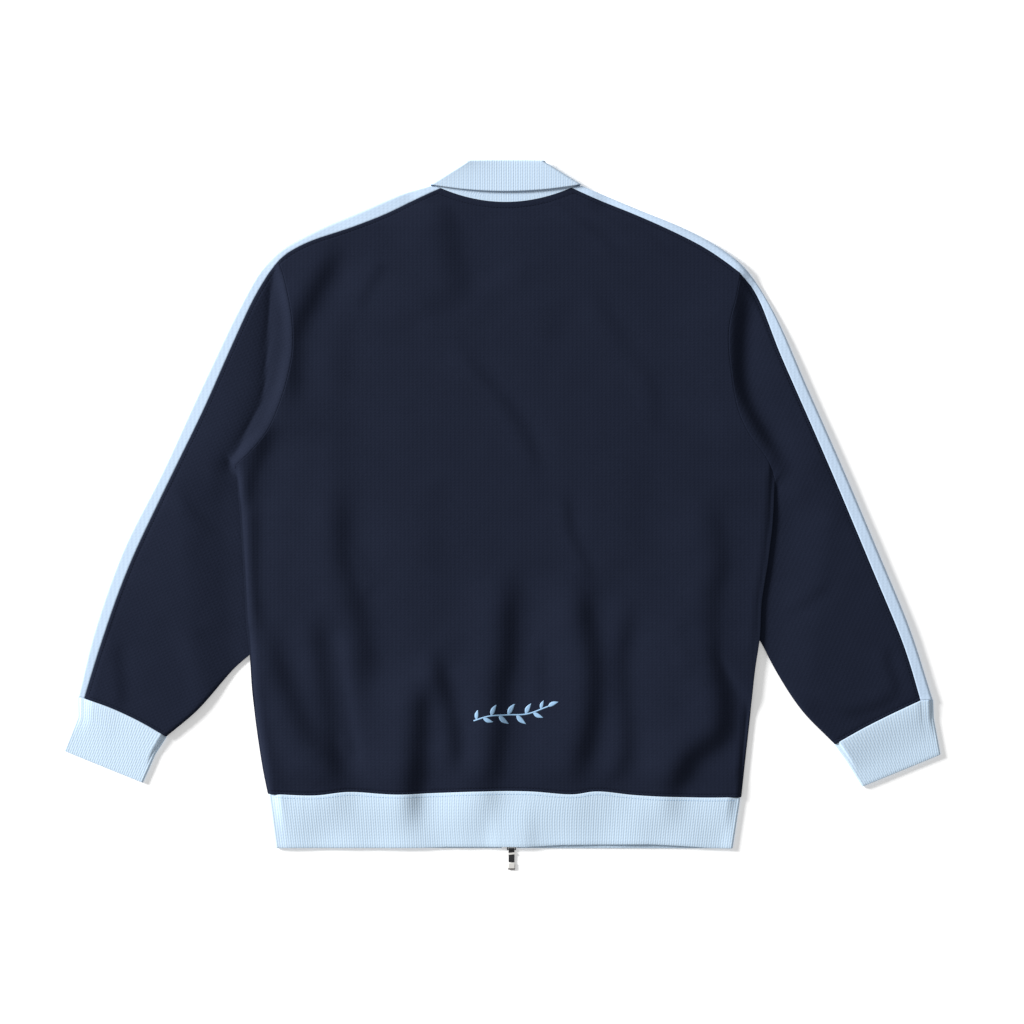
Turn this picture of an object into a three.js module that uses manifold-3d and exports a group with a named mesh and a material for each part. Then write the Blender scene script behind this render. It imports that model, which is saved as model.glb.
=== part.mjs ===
// A track jacket laid flat, face down, in millimetres with +Z up.
// Tables are measured on the garment: x from the centre of the back, to the right as seen, and y from the
// bottom of the hem towards the neck. Left and right are as seen, so left is the wearer's left.
import * as THREE from "three";
import { mergeVertices } from "three/addons/utils/BufferGeometryUtils.js";
import Module from "manifold-3d";

// Walls, seams and knit ribs
const CLOTH = 1.2;
const RIB_WALL = 1.5;
const SEAM_GAP = 0.3;
const RIB_PITCH = 2.6;
const RIB_RELIEF = 0.6;
const FOLD_RADIUS = 4;

// Half the gap between two layers whose edges roll towards each other
const ROLL_GAP = 0.6;

// Between the fronts' upper edges and the collar
const NECK_GAP = 1.2;

// Shares of a width at which a rolled edge has its extra columns, and angles of the stripe's fold
const ROLL_SHARES = [0.0025, 0.01];
const STRIPE_ANGLES = [90, 45, 0, -45, -90];

// How far the sleeves' tips stop short, and how far a sleeve still follows the body beyond the armhole seam
const SLEEVE_TIP = 0.12;
const ARMHOLE_REACH = 11;

// Heights of the middle of each layer over the surface that the jacket lies on
const FIRST_LAYER = CLOTH / 2;
const LAYER = CLOTH + SEAM_GAP;
const TUCK_LIFT = 2 * LAYER + 0.1;
const RIB_LOW = RIB_WALL / 2;
const RIB_RISE = 2.4;

// Zip, a little off the centre of the back as it lies
const ZIP_X = 5.8;
const ZIP_FOOT = 2;
const ZIP_HEAD = 606;
const FRONT_EDGE = 5.5;
const ZIP_RISE = 0.9;
const TAPE = { width: 24, thick: 0.6, low: 2.1 };
const CHAIN = { width: 5.6, low: 0.2, high: 1.8 };
const SLIDER = { width: 9.4, length: 11, high: 1.8 };
const PULL_PIN = { y: -1.2, z: 1.2, radius: 0.4 };
const PULL = { width: 6.2, end: -15, low: 0.7, high: 1.5, barrel: 1.2, bore: 0.7 };
const BAND = { y: -5.8, length: 2.2, width: 7.6, high: 2.2, wall: 0.4, tilt: 0.12 };
const CAP = { width: 7.4, start: -15.3, end: -22.7, low: 0.2, high: 2 };

// Collar, a strip of rib turned down along its fold. a is half the width of the flattened loop.
const COLLAR_X = -0.5;
const COLLAR_HIGH = 5.8;
const COLLAR_SAG = 1.6;
const COLLAR_END = 0.6;
const TURN_RISE = 2;
const COLLAR = {
  neck: { a: 74, side: 695, back: 677.8, front: 612 },
  fold: { a: 39.1, side: 717.2, back: 719.9, front: 657 },
  edge: { a: 78.4, side: 696.5, back: 689.4, front: 629 },
};
const NECK_LIFT = 3;

// How far the hem's upper layer stops above its lower one
const HEM_RISE = 2;
const NECK_CORNER = 68.5;
const STRIPE_UNDER = 18;

const HEM_SEAM = [
  { x: -250, y: 57.5 },
  { x: -200, y: 56 },
  { x: -166, y: 59.5 },
  { x: -115, y: 57 },
  { x: -27, y: 60 },
  { x: 25, y: 60 },
  { x: 70, y: 57 },
  { x: 95, y: 60 },
  { x: 137, y: 56 },
  { x: 204, y: 53.5 },
  { x: 247, y: 54 },
];

const LEFT = {
  name: "left",
  sign: -1,
  side: [
    { x: -250, y: 57.5 },
    { x: -255, y: 82 },
    { x: -261.5, y: 124 },
    { x: -266.5, y: 166 },
    { x: -269, y: 202.5 },
    { x: -272.5, y: 235 },
    { x: -275, y: 283.5 },
    { x: -278, y: 332 },
    { x: -283.5, y: 401 },
  ],
  armhole: [
    { x: -283.5, y: 401 },
    { x: -268, y: 415 },
    { x: -248, y: 441 },
    { x: -234, y: 474.5 },
    { x: -227.5, y: 498 },
    { x: -223.5, y: 522 },
    { x: -224, y: 555.5 },
    { x: -231, y: 593 },
    { x: -238, y: 618.5 },
  ],
  shoulder: [
    { x: -68.5, y: 692.3 },
    { x: -94.5, y: 680.5 },
    { x: -124.5, y: 665.5 },
    { x: -161.5, y: 651 },
    { x: -211, y: 634 },
    { x: -238, y: 618.5 },
  ],
  stripeSeam: [
    { x: -238, y: 618.5 },
    { x: -259.5, y: 586 },
    { x: -289, y: 523 },
    { x: -317, y: 460 },
    { x: -358, y: 376 },
    { x: -397, y: 292 },
    { x: -426.5, y: 208 },
    { x: -442, y: 157.5 },
  ],
  outline: [
    { x: -81, y: 694.5 },
    { x: -112.5, y: 685.5 },
    { x: -150, y: 670 },
    { x: -199.5, y: 649 },
    { x: -237.5, y: 628 },
    { x: -257, y: 607 },
    { x: -281.5, y: 565 },
    { x: -321.5, y: 481 },
    { x: -360, y: 397 },
    { x: -402, y: 313 },
    { x: -432.5, y: 229 },
    { x: -449.5, y: 159.5 },
  ],
  dive: { x: -287, y: 385 },
  tuck: { x: -185, y: 284.5 },
  emerge: { x: -269, y: 202.5 },
  innerEdge: [
    { x: -269, y: 202.5 },
    { x: -286.5, y: 187 },
    { x: -323.5, y: 145 },
    { x: -356, y: 117.5 },
  ],
  cuffSeam: [
    { x: -442, y: 157.5 },
    { x: -414, y: 147.5 },
    { x: -385, y: 134 },
    { x: -356, y: 117.5 },
  ],
  cuff: [
    { outer: { x: -449.5, y: 159 }, inner: { x: -356.5, y: 117 } },
    { outer: { x: -449, y: 138 }, inner: { x: -368.5, y: 99 } },
    { outer: { x: -463, y: 102.7 }, inner: { x: -381.5, y: 69.7 } },
  ],
  hem: [
    { x: -248.5, y: 56.9 },
    { x: -241, y: 1 },
  ],
};

const RIGHT = {
  name: "right",
  sign: 1,
  side: [
    { x: 247, y: 54 },
    { x: 250, y: 82 },
    { x: 257, y: 145 },
    { x: 261.5, y: 187 },
    { x: 266.5, y: 221.5 },
    { x: 268.5, y: 258.5 },
    { x: 275, y: 300.5 },
    { x: 280, y: 343.5 },
    { x: 282, y: 386.5 },
  ],
  armhole: [
    { x: 282, y: 386.5 },
    { x: 274.5, y: 406.5 },
    { x: 254.5, y: 434.5 },
    { x: 243, y: 460 },
    { x: 236, y: 498 },
    { x: 233, y: 531.5 },
    { x: 234.5, y: 552 },
    { x: 242, y: 582 },
    { x: 245, y: 604 },
  ],
  shoulder: [
    { x: 68.5, y: 692.8 },
    { x: 95.5, y: 680.5 },
    { x: 122, y: 670 },
    { x: 170, y: 649 },
    { x: 211, y: 628 },
    { x: 245, y: 604 },
  ],
  stripeSeam: [
    { x: 245, y: 604 },
    { x: 260.5, y: 586 },
    { x: 285.5, y: 523 },
    { x: 313, y: 460 },
    { x: 349.5, y: 376 },
    { x: 384.5, y: 292 },
    { x: 419, y: 208 },
    { x: 434.5, y: 155.5 },
  ],
  outline: [
    { x: 80, y: 694.5 },
    { x: 113.5, y: 680.5 },
    { x: 138.5, y: 670 },
    { x: 189, y: 649 },
    { x: 227, y: 628 },
    { x: 252, y: 607 },
    { x: 279.5, y: 565 },
    { x: 317, y: 481 },
    { x: 354, y: 397 },
    { x: 389.5, y: 313 },
    { x: 424, y: 229 },
    { x: 447.5, y: 156 },
  ],
  dive: { x: 286, y: 371 },
  tuck: { x: 203.5, y: 297 },
  emerge: { x: 266.5, y: 217.5 },
  innerEdge: [
    { x: 266.5, y: 217.5 },
    { x: 282.5, y: 187 },
    { x: 310, y: 145 },
    { x: 344.5, y: 109.5 },
  ],
  cuffSeam: [
    { x: 434.5, y: 155.5 },
    { x: 408, y: 143 },
    { x: 376, y: 127 },
    { x: 344.5, y: 109.5 },
  ],
  cuff: [
    { outer: { x: 447.5, y: 155.5 }, inner: { x: 345, y: 109 } },
    { outer: { x: 448, y: 136 }, inner: { x: 357.5, y: 92 } },
    { outer: { x: 455, y: 98.7 }, inner: { x: 374, y: 65.5 } },
  ],
  hem: [
    { x: 245, y: 53.4 },
    { x: 237, y: 0.5 },
  ],
};

// Folds of the back, each a soft trough through three points. A negative depth is a ridge.
const BACK_FOLDS = [
  { name: "left shoulder", top: [-164, 645], bend: [-210, 571], foot: [-220, 481], width: 9, depth: 2.2 },
  { name: "left armpit", top: [-249, 428], bend: [-260, 395], foot: [-272, 358], width: 8, depth: 2.2 },
  { name: "left side", top: [-263, 348], bend: [-261, 260], foot: [-234, 175], width: 8, depth: 2.4 },
  { name: "left side foot", top: [-234, 175], bend: [-190, 96], foot: [-159, 69], width: 9, depth: 2.6 },
  { name: "left side inner", top: [-197, 224], bend: [-186, 151], foot: [-183, 108], width: 8, depth: 1.8 },
  { name: "left ridge", top: [-173, 200], bend: [-161, 145], foot: [-149, 91], width: 9, depth: -1.4 },
  { name: "left long", top: [-173, 344], bend: [-152, 250], foot: [-146, 155], width: 9, depth: 1.6 },
  { name: "left hem", top: [-85, 161], bend: [-96, 111], foot: [-100, 64], width: 10, depth: 3 },
  { name: "left hem inner", top: [-62, 183], bend: [-55, 140], foot: [-53, 98], width: 8, depth: 2.2 },
  { name: "centre", top: [4, 279], bend: [0, 187], foot: [-19, 70], width: 10, depth: 2.6 },
  { name: "right of centre", top: [82, 279], bend: [95, 193], foot: [78, 75], width: 9, depth: 2.6 },
  { name: "right hem", top: [133, 247], bend: [126, 160], foot: [127, 98], width: 8, depth: 1.9 },
  { name: "right hem curl", top: [127, 98], bend: [121, 80], foot: [97, 67], width: 8, depth: 1.8 },
  { name: "right side", top: [210, 355], bend: [221, 300], foot: [219, 247], width: 9, depth: 1.8 },
  { name: "right side lower", top: [217, 247], bend: [229, 180], foot: [228, 129], width: 10, depth: 2.2 },
  { name: "right side foot", top: [228, 129], bend: [202, 98], foot: [178, 68], width: 10, depth: 2.8 },
  { name: "right shoulder", top: [73, 678], bend: [110, 657], foot: [147, 635], width: 9, depth: 1.2 },
  { name: "middle", top: [-53, 525], bend: [-10, 465], foot: [39, 404], width: 12, depth: 1.1 },
];

// Folds of the sleeves' upper halves
const SLEEVE_FOLDS = [
  { name: "left armhole roll", top: [-238, 590], bend: [-236, 520], foot: [-250, 460], width: 8, depth: -1.8 },
  { name: "left armhole valley", top: [-246, 594], bend: [-251, 520], foot: [-257, 460], width: 7, depth: 2.6 },
  { name: "left armpit valley", top: [-257, 460], bend: [-268, 432], foot: [-284, 406], width: 7, depth: 2.2 },
  { name: "left elbow upper", top: [-327, 358], bend: [-304, 336], foot: [-285, 313], width: 8, depth: 1.5 },
  { name: "left elbow", top: [-311, 380], bend: [-318, 340], foot: [-300, 300], width: 8, depth: 1.2 },
  { name: "left forearm", top: [-311, 248], bend: [-294, 236], foot: [-277, 223], width: 8, depth: 1.2 },
  { name: "right armhole", top: [250, 580], bend: [240, 520], foot: [250, 462], width: 7, depth: 2.8 },
  { name: "right armpit", top: [250, 462], bend: [262, 436], foot: [285, 400], width: 7, depth: 2.4 },
  { name: "right elbow", top: [279, 260], bend: [294, 266], foot: [309, 271], width: 8, depth: 1.3 },
  { name: "right forearm", top: [320, 160], bend: [335, 152], foot: [350, 146], width: 8, depth: 1.4 },
];

// How many steps each stretch of an edge is cut into
const STEPS = { shoulder: 10, neck: 12, side: 11, armhole: 7, tuckIn: 3, tuckOut: 3, forearm: 5, frontNeck: 4 };
const SLEEVE_COLUMNS = 10;
const SIDE_ROWS = STEPS.side + STEPS.armhole;
const FOREARM_START = STEPS.armhole + 1 + STEPS.tuckIn + STEPS.tuckOut;
const SLEEVE_ROWS = FOREARM_START + STEPS.forearm;

const point = (x, y, z = 0) => new THREE.Vector3(x, y, z);
const mix = (a, b, share) => a + (b - a) * share;

function ease(share) {
  const t = Math.min(1, Math.max(0, share));
  return t * t * (3 - 2 * t);
}

// Evenly spaced points on a smooth line through a table's rows
function spaced(rows, steps) {
  const line = new THREE.CatmullRomCurve3(
    rows.map((row) => point(row.x, row.y)),
    false,
    "centripetal",
  );
  return line.getSpacedPoints(steps);
}

// Several stretches joined end to end
function joined(...stretches) {
  return stretches.flatMap((stretch, index) => (index ? stretch.slice(1) : stretch));
}

// The point at a share of a list of points
function along(points, share) {
  const place = share * (points.length - 1);
  const index = Math.min(points.length - 2, Math.floor(place));
  return points[index].clone().lerp(points[index + 1], place - index);
}

// x of a table's line at a height y
function xAt(rows, y) {
  const rising = rows[0].y < rows.at(-1).y ? rows : [...rows].reverse();
  const next = rising.findIndex((row) => row.y >= y);
  if (next <= 0) return next ? rising.at(-1).x : rising[0].x;
  const a = rising[next - 1];
  const b = rising[next];
  return mix(a.x, b.x, (y - a.y) / (b.y - a.y));
}

// Folds, pillows and layers

function foldLine(fold) {
  const line = new THREE.CatmullRomCurve3(
    [fold.top, fold.bend, fold.foot].map(([x, y]) => point(x, y)),
    false,
    "centripetal",
  );
  return { ...fold, points: line.getSpacedPoints(12) };
}

const BACK_LINES = BACK_FOLDS.map(foldLine);
const SLEEVE_LINES = SLEEVE_FOLDS.map(foldLine);

// How far a place stands above or below the cloth for one fold: a trough between two low ridges, fading at its ends
function foldAt(fold, x, y) {
  let best = Infinity;
  let share = 0;
  const last = fold.points.length - 1;
  for (let i = 0; i < last; i += 1) {
    const a = fold.points[i];
    const b = fold.points[i + 1];
    const length2 = (b.x - a.x) ** 2 + (b.y - a.y) ** 2;
    const t = Math.min(1, Math.max(0, ((x - a.x) * (b.x - a.x) + (y - a.y) * (b.y - a.y)) / length2));
    const away = Math.hypot(x - mix(a.x, b.x, t), y - mix(a.y, b.y, t));
    if (away < best) {
      best = away;
      share = (i + t) / last;
    }
  }
  const ends = ease(share / 0.25 + 0.35) * ease((1 - share) / 0.25 + 0.35);
  const trough = Math.exp(-((best / fold.width) ** 2));
  const ridge = 0.4 * Math.exp(-(((best - 2 * fold.width) / fold.width) ** 2));
  return fold.depth * ends * (ridge - trough);
}

const foldsAt = (lines, x, y) => lines.reduce((sum, fold) => sum + foldAt(fold, x, y), 0);

// Never below zero, and smooth where it reaches it
const settled = (rise) => 0.5 * (rise + Math.sqrt(rise * rise + 0.6));

// 1 where a sleeve's tucked underarm lies under the body, 0 beyond it
function tucked(half, x, y) {
  const armpit = half.armhole[0];
  const line = [half.dive, half.tuck, half.emerge];
  const slopeBelow = (half.tuck.x - half.emerge.x) / (half.tuck.y - half.emerge.y);
  const limit = y < half.emerge.y ? half.emerge.x + slopeBelow * (y - half.emerge.y) : xAt(line, y);
  const inside = half.sign * (limit - x);
  return ease((78 - inside) / 28) * ease((armpit.y + 36 - y) / 30);
}

const neckShape = (level, x) => 1 - ((x - COLLAR_X) / level.a) ** 2;
const frontNeck = (x) => COLLAR.neck.side + (COLLAR.neck.front - COLLAR.neck.side) * neckShape(COLLAR.neck, x);
const backNeck = (x) => COLLAR.neck.side + (COLLAR.neck.back - COLLAR.neck.side) * neckShape(COLLAR.neck, x);

// 1 close to the zip, where the front and the collar lie on the surface, 0 away from it
const nearZip = (x) => ease((34 - Math.abs(x - ZIP_X)) / 16);

function frontHeight(x, y) {
  const tuck = Math.max(tucked(LEFT, x, y), tucked(RIGHT, x, y));
  const neck = Math.abs(x) < NECK_CORNER + 12 ? ease((y - frontNeck(x) + 22) / 20) * (1 - nearZip(x)) : 0;
  return FIRST_LAYER + TUCK_LIFT * tuck + (RIB_LOW + RIB_RISE - FIRST_LAYER) * neck;
}

function backHeight(x, y) {
  const tuck = Math.max(tucked(LEFT, x, y), tucked(RIGHT, x, y));
  const neck = ease((y - 560) / 40) * ease((125 - Math.abs(x)) / 40);
  const zip = ease((30 - Math.abs(x - ZIP_X)) / 18) * (1 - neck);
  const inward = Math.min(x - xAt(LEFT.side, y), xAt(RIGHT.side, y) - x);
  const body = y < 400 ? 0.9 + 1.3 * ease(inward / 45) : 2.2;
  const pillow = Math.min(body, 0.9 + 1.3 * ease((y - 57) / 45), 0.9 + 1.3 * ease((690 - y) / 50));
  const lift = TUCK_LIFT * tuck + NECK_LIFT * neck + 1.5 * zip;
  return FIRST_LAYER + LAYER + lift + settled(pillow + foldsAt(BACK_LINES, x, y));
}

function sleeveHeight(half, x, y) {
  const armpit = half.armhole[0];
  const outside = half.sign * (x - xAt(half.side, y));
  const covered = ease((38 - outside) / 20) * ease((armpit.y - y) / (armpit.y - half.dive.y));
  const rise = 1.9 + foldsAt(SLEEVE_LINES, x, y);
  return FIRST_LAYER + LAYER + (1 - covered) * settled(rise);
}

// Grids of points that fill a panel

// Fills the space between four edges. shares places the columns between the left and the right edge.
function fill(bottom, top, left, right, shares) {
  const rows = left.length - 1;
  return left.map((start, i) => {
    const end = right[i];
    const v = i / rows;
    return shares.map((u) => {
      const low = along(bottom, u);
      const high = along(top, u);
      const place = (axis) =>
        mix(low[axis], high[axis], v) +
        mix(start[axis], end[axis], u) -
        mix(mix(bottom[0][axis], bottom.at(-1)[axis], u), mix(top[0][axis], top.at(-1)[axis], u), v);
      return point(place("x"), place("y"));
    });
  });
}

// Moves one edge of a grid inwards, square to the edge
function inset(edge, inner, distance) {
  const moved = edge.map((here, k) => {
    const before = edge[Math.max(0, k - 1)];
    const after = edge[Math.min(edge.length - 1, k + 1)];
    const square = point(before.y - after.y, after.x - before.x).normalize();
    if (square.dot(inner[k].clone().sub(here)) < 0) square.negate();
    return here.clone().addScaledVector(square, distance);
  });
  edge.forEach((here, k) => here.copy(moved[k]));
}

const column = (grid, j) => grid.map((row) => row.at(j));

// Rolls an edge of a row over towards a height, from its edge point inwards
function rollEdge(row, edge, meet) {
  row.forEach((place) => {
    const away = Math.hypot(place.x - edge.x, place.y - edge.y);
    if (away >= FOLD_RADIUS) return;
    const round = Math.sqrt(1 - (1 - away / FOLD_RADIUS) ** 2);
    place.z = mix(meet, place.z, round);
  });
}

// Closed walls

// How far along its line a point is: its turn on a ring, or else its place in the list
const shareOf = (line, index) => line[index].turn ?? index / (line.length - 1);

// Triangles between two lines of points that run the same way
function strip(faces, a, b) {
  let i = 0;
  let k = 0;
  while (i < a.length - 1 || k < b.length - 1) {
    const lastB = k === b.length - 1;
    if (lastB || (i < a.length - 1 && shareOf(a, i + 1) <= shareOf(b, k + 1))) {
      faces.push([a[i], a[i + 1], b[k]]);
      i += 1;
    } else {
      faces.push([a[i], b[k + 1], b[k]]);
      k += 1;
    }
  }
}

function closedWall(outer, inner, ring = false) {
  const faces = [];
  const inside = [];
  for (let i = 0; i < outer.length - 1; i += 1) strip(faces, outer[i], outer[i + 1]);
  for (let i = 0; i < inner.length - 1; i += 1) strip(inside, inner[i], inner[i + 1]);
  faces.push(...inside.map(([a, b, c]) => [a, c, b]));
  strip(faces, inner[0], outer[0]);
  strip(faces, outer.at(-1), inner.at(-1));
  if (!ring) {
    strip(faces, column(outer, 0), column(inner, 0));
    strip(faces, column(inner, -1), column(outer, -1));
  }
  return faces;
}

// A geometry whose faces point outwards
function solid(faces) {
  let volume = 0;
  for (const [a, b, c] of faces) volume += a.dot(b.clone().cross(c));
  const kept = faces.filter(([a, b, c]) => !a.equals(b) && !b.equals(c) && !c.equals(a));
  const numbers = kept.flatMap(([a, b, c]) => (volume < 0 ? [a, c, b] : [a, b, c])).flatMap((p) => [p.x, p.y, p.z]);
  const geometry = new THREE.BufferGeometry();
  geometry.setAttribute("position", new THREE.Float32BufferAttribute(numbers, 3));
  geometry.computeVertexNormals();
  return geometry;
}

// The direction square to a grid at each point, the same way round as its first corner, which faces up.
// edgeAt gives "seam" where the edge stays square to the surface it lies on, and "fold" at a rolled edge.
function normals(grid, edgeAt) {
  const square = (i, j) => {
    const row = grid[i];
    const across = row[Math.min(row.length - 1, j + 1)].clone().sub(row[Math.max(0, j - 1)]);
    const up = grid[Math.min(grid.length - 1, i + 1)][j].clone().sub(grid[Math.max(0, i - 1)][j]);
    return across.cross(up).normalize();
  };
  const middle = Math.floor(grid.length / 2);
  const way = Math.sign(square(middle, 1).z);
  return grid.map((row, i) =>
    row.map((here, j) => {
      const kind = edgeAt(i, j);
      const direction = square(i, j).multiplyScalar(way);
      if (kind === "seam") return point(0, 0, Math.sign(direction.z));
      if (kind !== "fold") return direction;
      const within = row[j ? j - 1 : 1];
      return point(here.x - within.x, here.y - within.y).normalize();
    }),
  );
}

function wall(grid, thick, edgeAt) {
  const square = normals(grid, edgeAt);
  const face = (way) =>
    grid.map((row, i) => row.map((here, j) => here.clone().addScaledVector(square[i][j], (way * thick) / 2)));
  return solid(closedWall(face(1), face(-1)));
}

// Edges of each half that its pieces share

// The stripe's seam on top, the outline that it folds round, and its seam underneath
function stations(half) {
  const top = joined(spaced(half.shoulder, STEPS.shoulder), spaced(half.stripeSeam, SLEEVE_ROWS));
  const outline = spaced(half.outline, 400);
  const last = top.length - 1;
  const outer = top.map((here, k) => {
    if (k === 0) return outline[0].clone();
    if (k === last) return outline.at(-1).clone();
    return outline.reduce((a, b) => (a.distanceTo(here) < b.distanceTo(here) ? a : b)).clone();
  });
  const neckX = half.sign * (NECK_CORNER - 2);
  const neckEnd = point(neckX, frontNeck(neckX));
  const under = outer.map((here, k) => {
    const before = outer[Math.max(0, k - 1)];
    const after = outer[Math.min(last, k + 1)];
    const square = point(after.y - before.y, before.x - after.x).normalize();
    if (square.dot(top[k].clone().sub(here)) < 0) square.negate();
    const below = here.clone().addScaledVector(square, STRIPE_UNDER);
    const beside = neckEnd.clone().add(here).sub(outer[0]);
    return beside.lerp(below, ease(k / 5));
  });
  return { top, outer, under };
}

const SEAMS = new Map([LEFT, RIGHT].map((half) => [half, stations(half)]));

// The armhole seam from the armpit up, on top of the jacket or underneath it
function armholeLine(half, underneath) {
  const end = SEAMS.get(half).under[STEPS.shoulder];
  const rows = underneath ? [...half.armhole.slice(0, -1), end] : half.armhole;
  return spaced(rows, STEPS.armhole);
}

function sideLine(half, underneath) {
  return joined(spaced(half.side, STEPS.side), armholeLine(half, underneath));
}

// The sleeve's edge towards the body, from the shoulder to the cuff
function innerLine(half, underneath) {
  return joined(
    armholeLine(half, underneath).reverse(),
    [point(half.armhole[0].x, half.armhole[0].y), point(half.dive.x, half.dive.y)],
    spaced([half.dive, half.tuck], STEPS.tuckIn),
    spaced([half.tuck, half.emerge], STEPS.tuckOut),
    spaced(half.innerEdge, STEPS.forearm),
  );
}

// The seam between a sleeve's half and its cuff
function cuffEdge(half, underneath) {
  const start = underneath ? SEAMS.get(half).under.at(-1) : half.cuffSeam[0];
  return spaced([start, ...half.cuffSeam.slice(1)], 8);
}

// Pieces of cloth

const NAVY = new THREE.MeshStandardMaterial({ color: 0x202535, roughness: 0.85, metalness: 0 });
const SKY = new THREE.MeshStandardMaterial({ color: 0xcddff0, roughness: 0.9, metalness: 0 });
const BLACK = new THREE.MeshStandardMaterial({ color: 0x16171a, roughness: 0.6, metalness: 0 });
const METAL = new THREE.MeshStandardMaterial({ color: 0xc9cbce, roughness: 0.3, metalness: 1 });

const jacket = new THREE.Group();

function add(name, geometry, material) {
  const mesh = new THREE.Mesh(geometry, material);
  mesh.name = name;
  jacket.add(mesh);
}

// Even shares of a width, with two more columns close to a rolled edge
function columnShares(steps, atStart = false, atEnd = false) {
  const shares = Array.from({ length: steps + 1 }, (_, k) => k / steps);
  if (atStart) shares.splice(1, 0, ...ROLL_SHARES);
  if (atEnd) shares.splice(-1, 0, ...ROLL_SHARES.map((share) => 1 - share).reverse());
  return shares;
}

function backGrid() {
  const shoulder = (half) => SEAMS.get(half).top.slice(0, STEPS.shoulder + 1);
  const neck = Array.from({ length: STEPS.neck + 1 }, (_, k) => {
    const x = mix(-NECK_CORNER, NECK_CORNER, k / STEPS.neck);
    return point(x, backNeck(x));
  });
  const top = joined(shoulder(LEFT).reverse(), neck, shoulder(RIGHT));
  const steps = top.length - 1;
  const shares = columnShares(steps, true, true);
  const grid = fill(spaced(HEM_SEAM, steps), top, sideLine(LEFT), sideLine(RIGHT), shares);
  inset(grid[0], grid[1], SEAM_GAP / 2);
  inset(grid.at(-1), grid.at(-2), SEAM_GAP);
  grid.forEach((row, i) => {
    const rolled = i < STEPS.side;
    pullIn(row[0], row[3], rolled ? CLOTH / 2 : SEAM_GAP / 2);
    pullIn(row.at(-1), row.at(-4), rolled ? CLOTH / 2 : SEAM_GAP / 2);
    row.forEach((place) => place.setZ(backHeight(place.x, place.y)));
    if (!rolled) return;
    for (const edge of [row[0].clone(), row.at(-1).clone()]) {
      rollEdge(row, edge, (edge.z + frontHeight(edge.x, edge.y)) / 2 + ROLL_GAP);
    }
  });
  return grid;
}

function pullIn(place, towards, distance) {
  place.addScaledVector(towards.clone().sub(place).setZ(0).normalize(), distance);
}

function frontGrid(half) {
  const shoulder = SEAMS.get(half).under.slice(0, STEPS.shoulder + 1);
  const finish = ZIP_X + half.sign * FRONT_EDGE;
  const neck = Array.from({ length: STEPS.frontNeck + 1 }, (_, k) => {
    const x = mix(shoulder[0].x, finish, k / STEPS.frontNeck);
    return point(x, frontNeck(x));
  });
  const top = joined(shoulder.filter((_, k) => k % 2 === 0).reverse(), neck);
  const steps = top.length - 1;
  const side = sideLine(half, true);
  const hemRow = [LEFT, RIGHT].map(({ hem }) => ({ x: hem[0].y + SEAM_GAP, y: hem[0].x }));
  const bottom = Array.from({ length: steps + 1 }, (_, k) => {
    const x = mix(side[0].x, finish, k / steps);
    return point(x, xAt(hemRow, x));
  });
  const middle = side.map((_, k) => point(finish, mix(bottom.at(-1).y, top.at(-1).y, k / SIDE_ROWS)));
  const grid = fill(bottom, top, side, middle, columnShares(steps, true, false));
  inset(grid[0], grid[1], SEAM_GAP / 2);
  inset(grid.at(-1), grid.at(-2), NECK_GAP);
  grid.forEach((row, i) => {
    const rolled = i < STEPS.side;
    pullIn(row[0], row[3], rolled ? CLOTH / 2 : SEAM_GAP / 2);
    row.forEach((place) => place.setZ(frontHeight(place.x, place.y)));
    if (!rolled) return;
    const edge = row[0].clone();
    rollEdge(row, edge, (edge.z + backHeight(edge.x, edge.y)) / 2 - ROLL_GAP);
  });
  return grid;
}

// A sleeve's upper or lower half, with its height and the height at which its rolled edge meets the other half
function sleeveGrid(half, underneath) {
  const seams = SEAMS.get(half);
  const outer = (underneath ? seams.under : seams.top).slice(STEPS.shoulder).map((place) => place.clone());
  const inner = innerLine(half, underneath);
  outer[0].lerp(outer[1], SLEEVE_TIP);
  inner[0].lerp(inner[1], SLEEVE_TIP);
  const grid = fill([outer[0], inner[0]], cuffEdge(half, underneath), outer, inner, columnShares(SLEEVE_COLUMNS));
  inset(column(grid, 0), column(grid, 1), SEAM_GAP / 2);
  inset(grid.at(-1), grid.at(-2), SEAM_GAP / 2);
  grid.forEach((row, i) => {
    pullIn(row.at(-1), row.at(-2), SEAM_GAP / 2);
    const edge = row.at(-1).clone();
    const upper = sleeveHeight(half, edge.x, edge.y);
    row.forEach((place) => place.setZ(underneath ? FIRST_LAYER : sleeveHeight(half, place.x, place.y)));
    if (i > FOREARM_START) rollEdge(row, edge, (upper + FIRST_LAYER) / 2 + (underneath ? -LAYER : LAYER) / 2);
    if (i > STEPS.armhole) return;
    const rise = underneath ? frontHeight(edge.x, edge.y) - FIRST_LAYER : backHeight(edge.x, edge.y) - upper;
    row.forEach((place) => {
      const away = Math.hypot(place.x - edge.x, place.y - edge.y);
      place.z += rise * Math.exp(-((away / ARMHOLE_REACH) ** 2));
    });
  });
  return grid;
}

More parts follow.
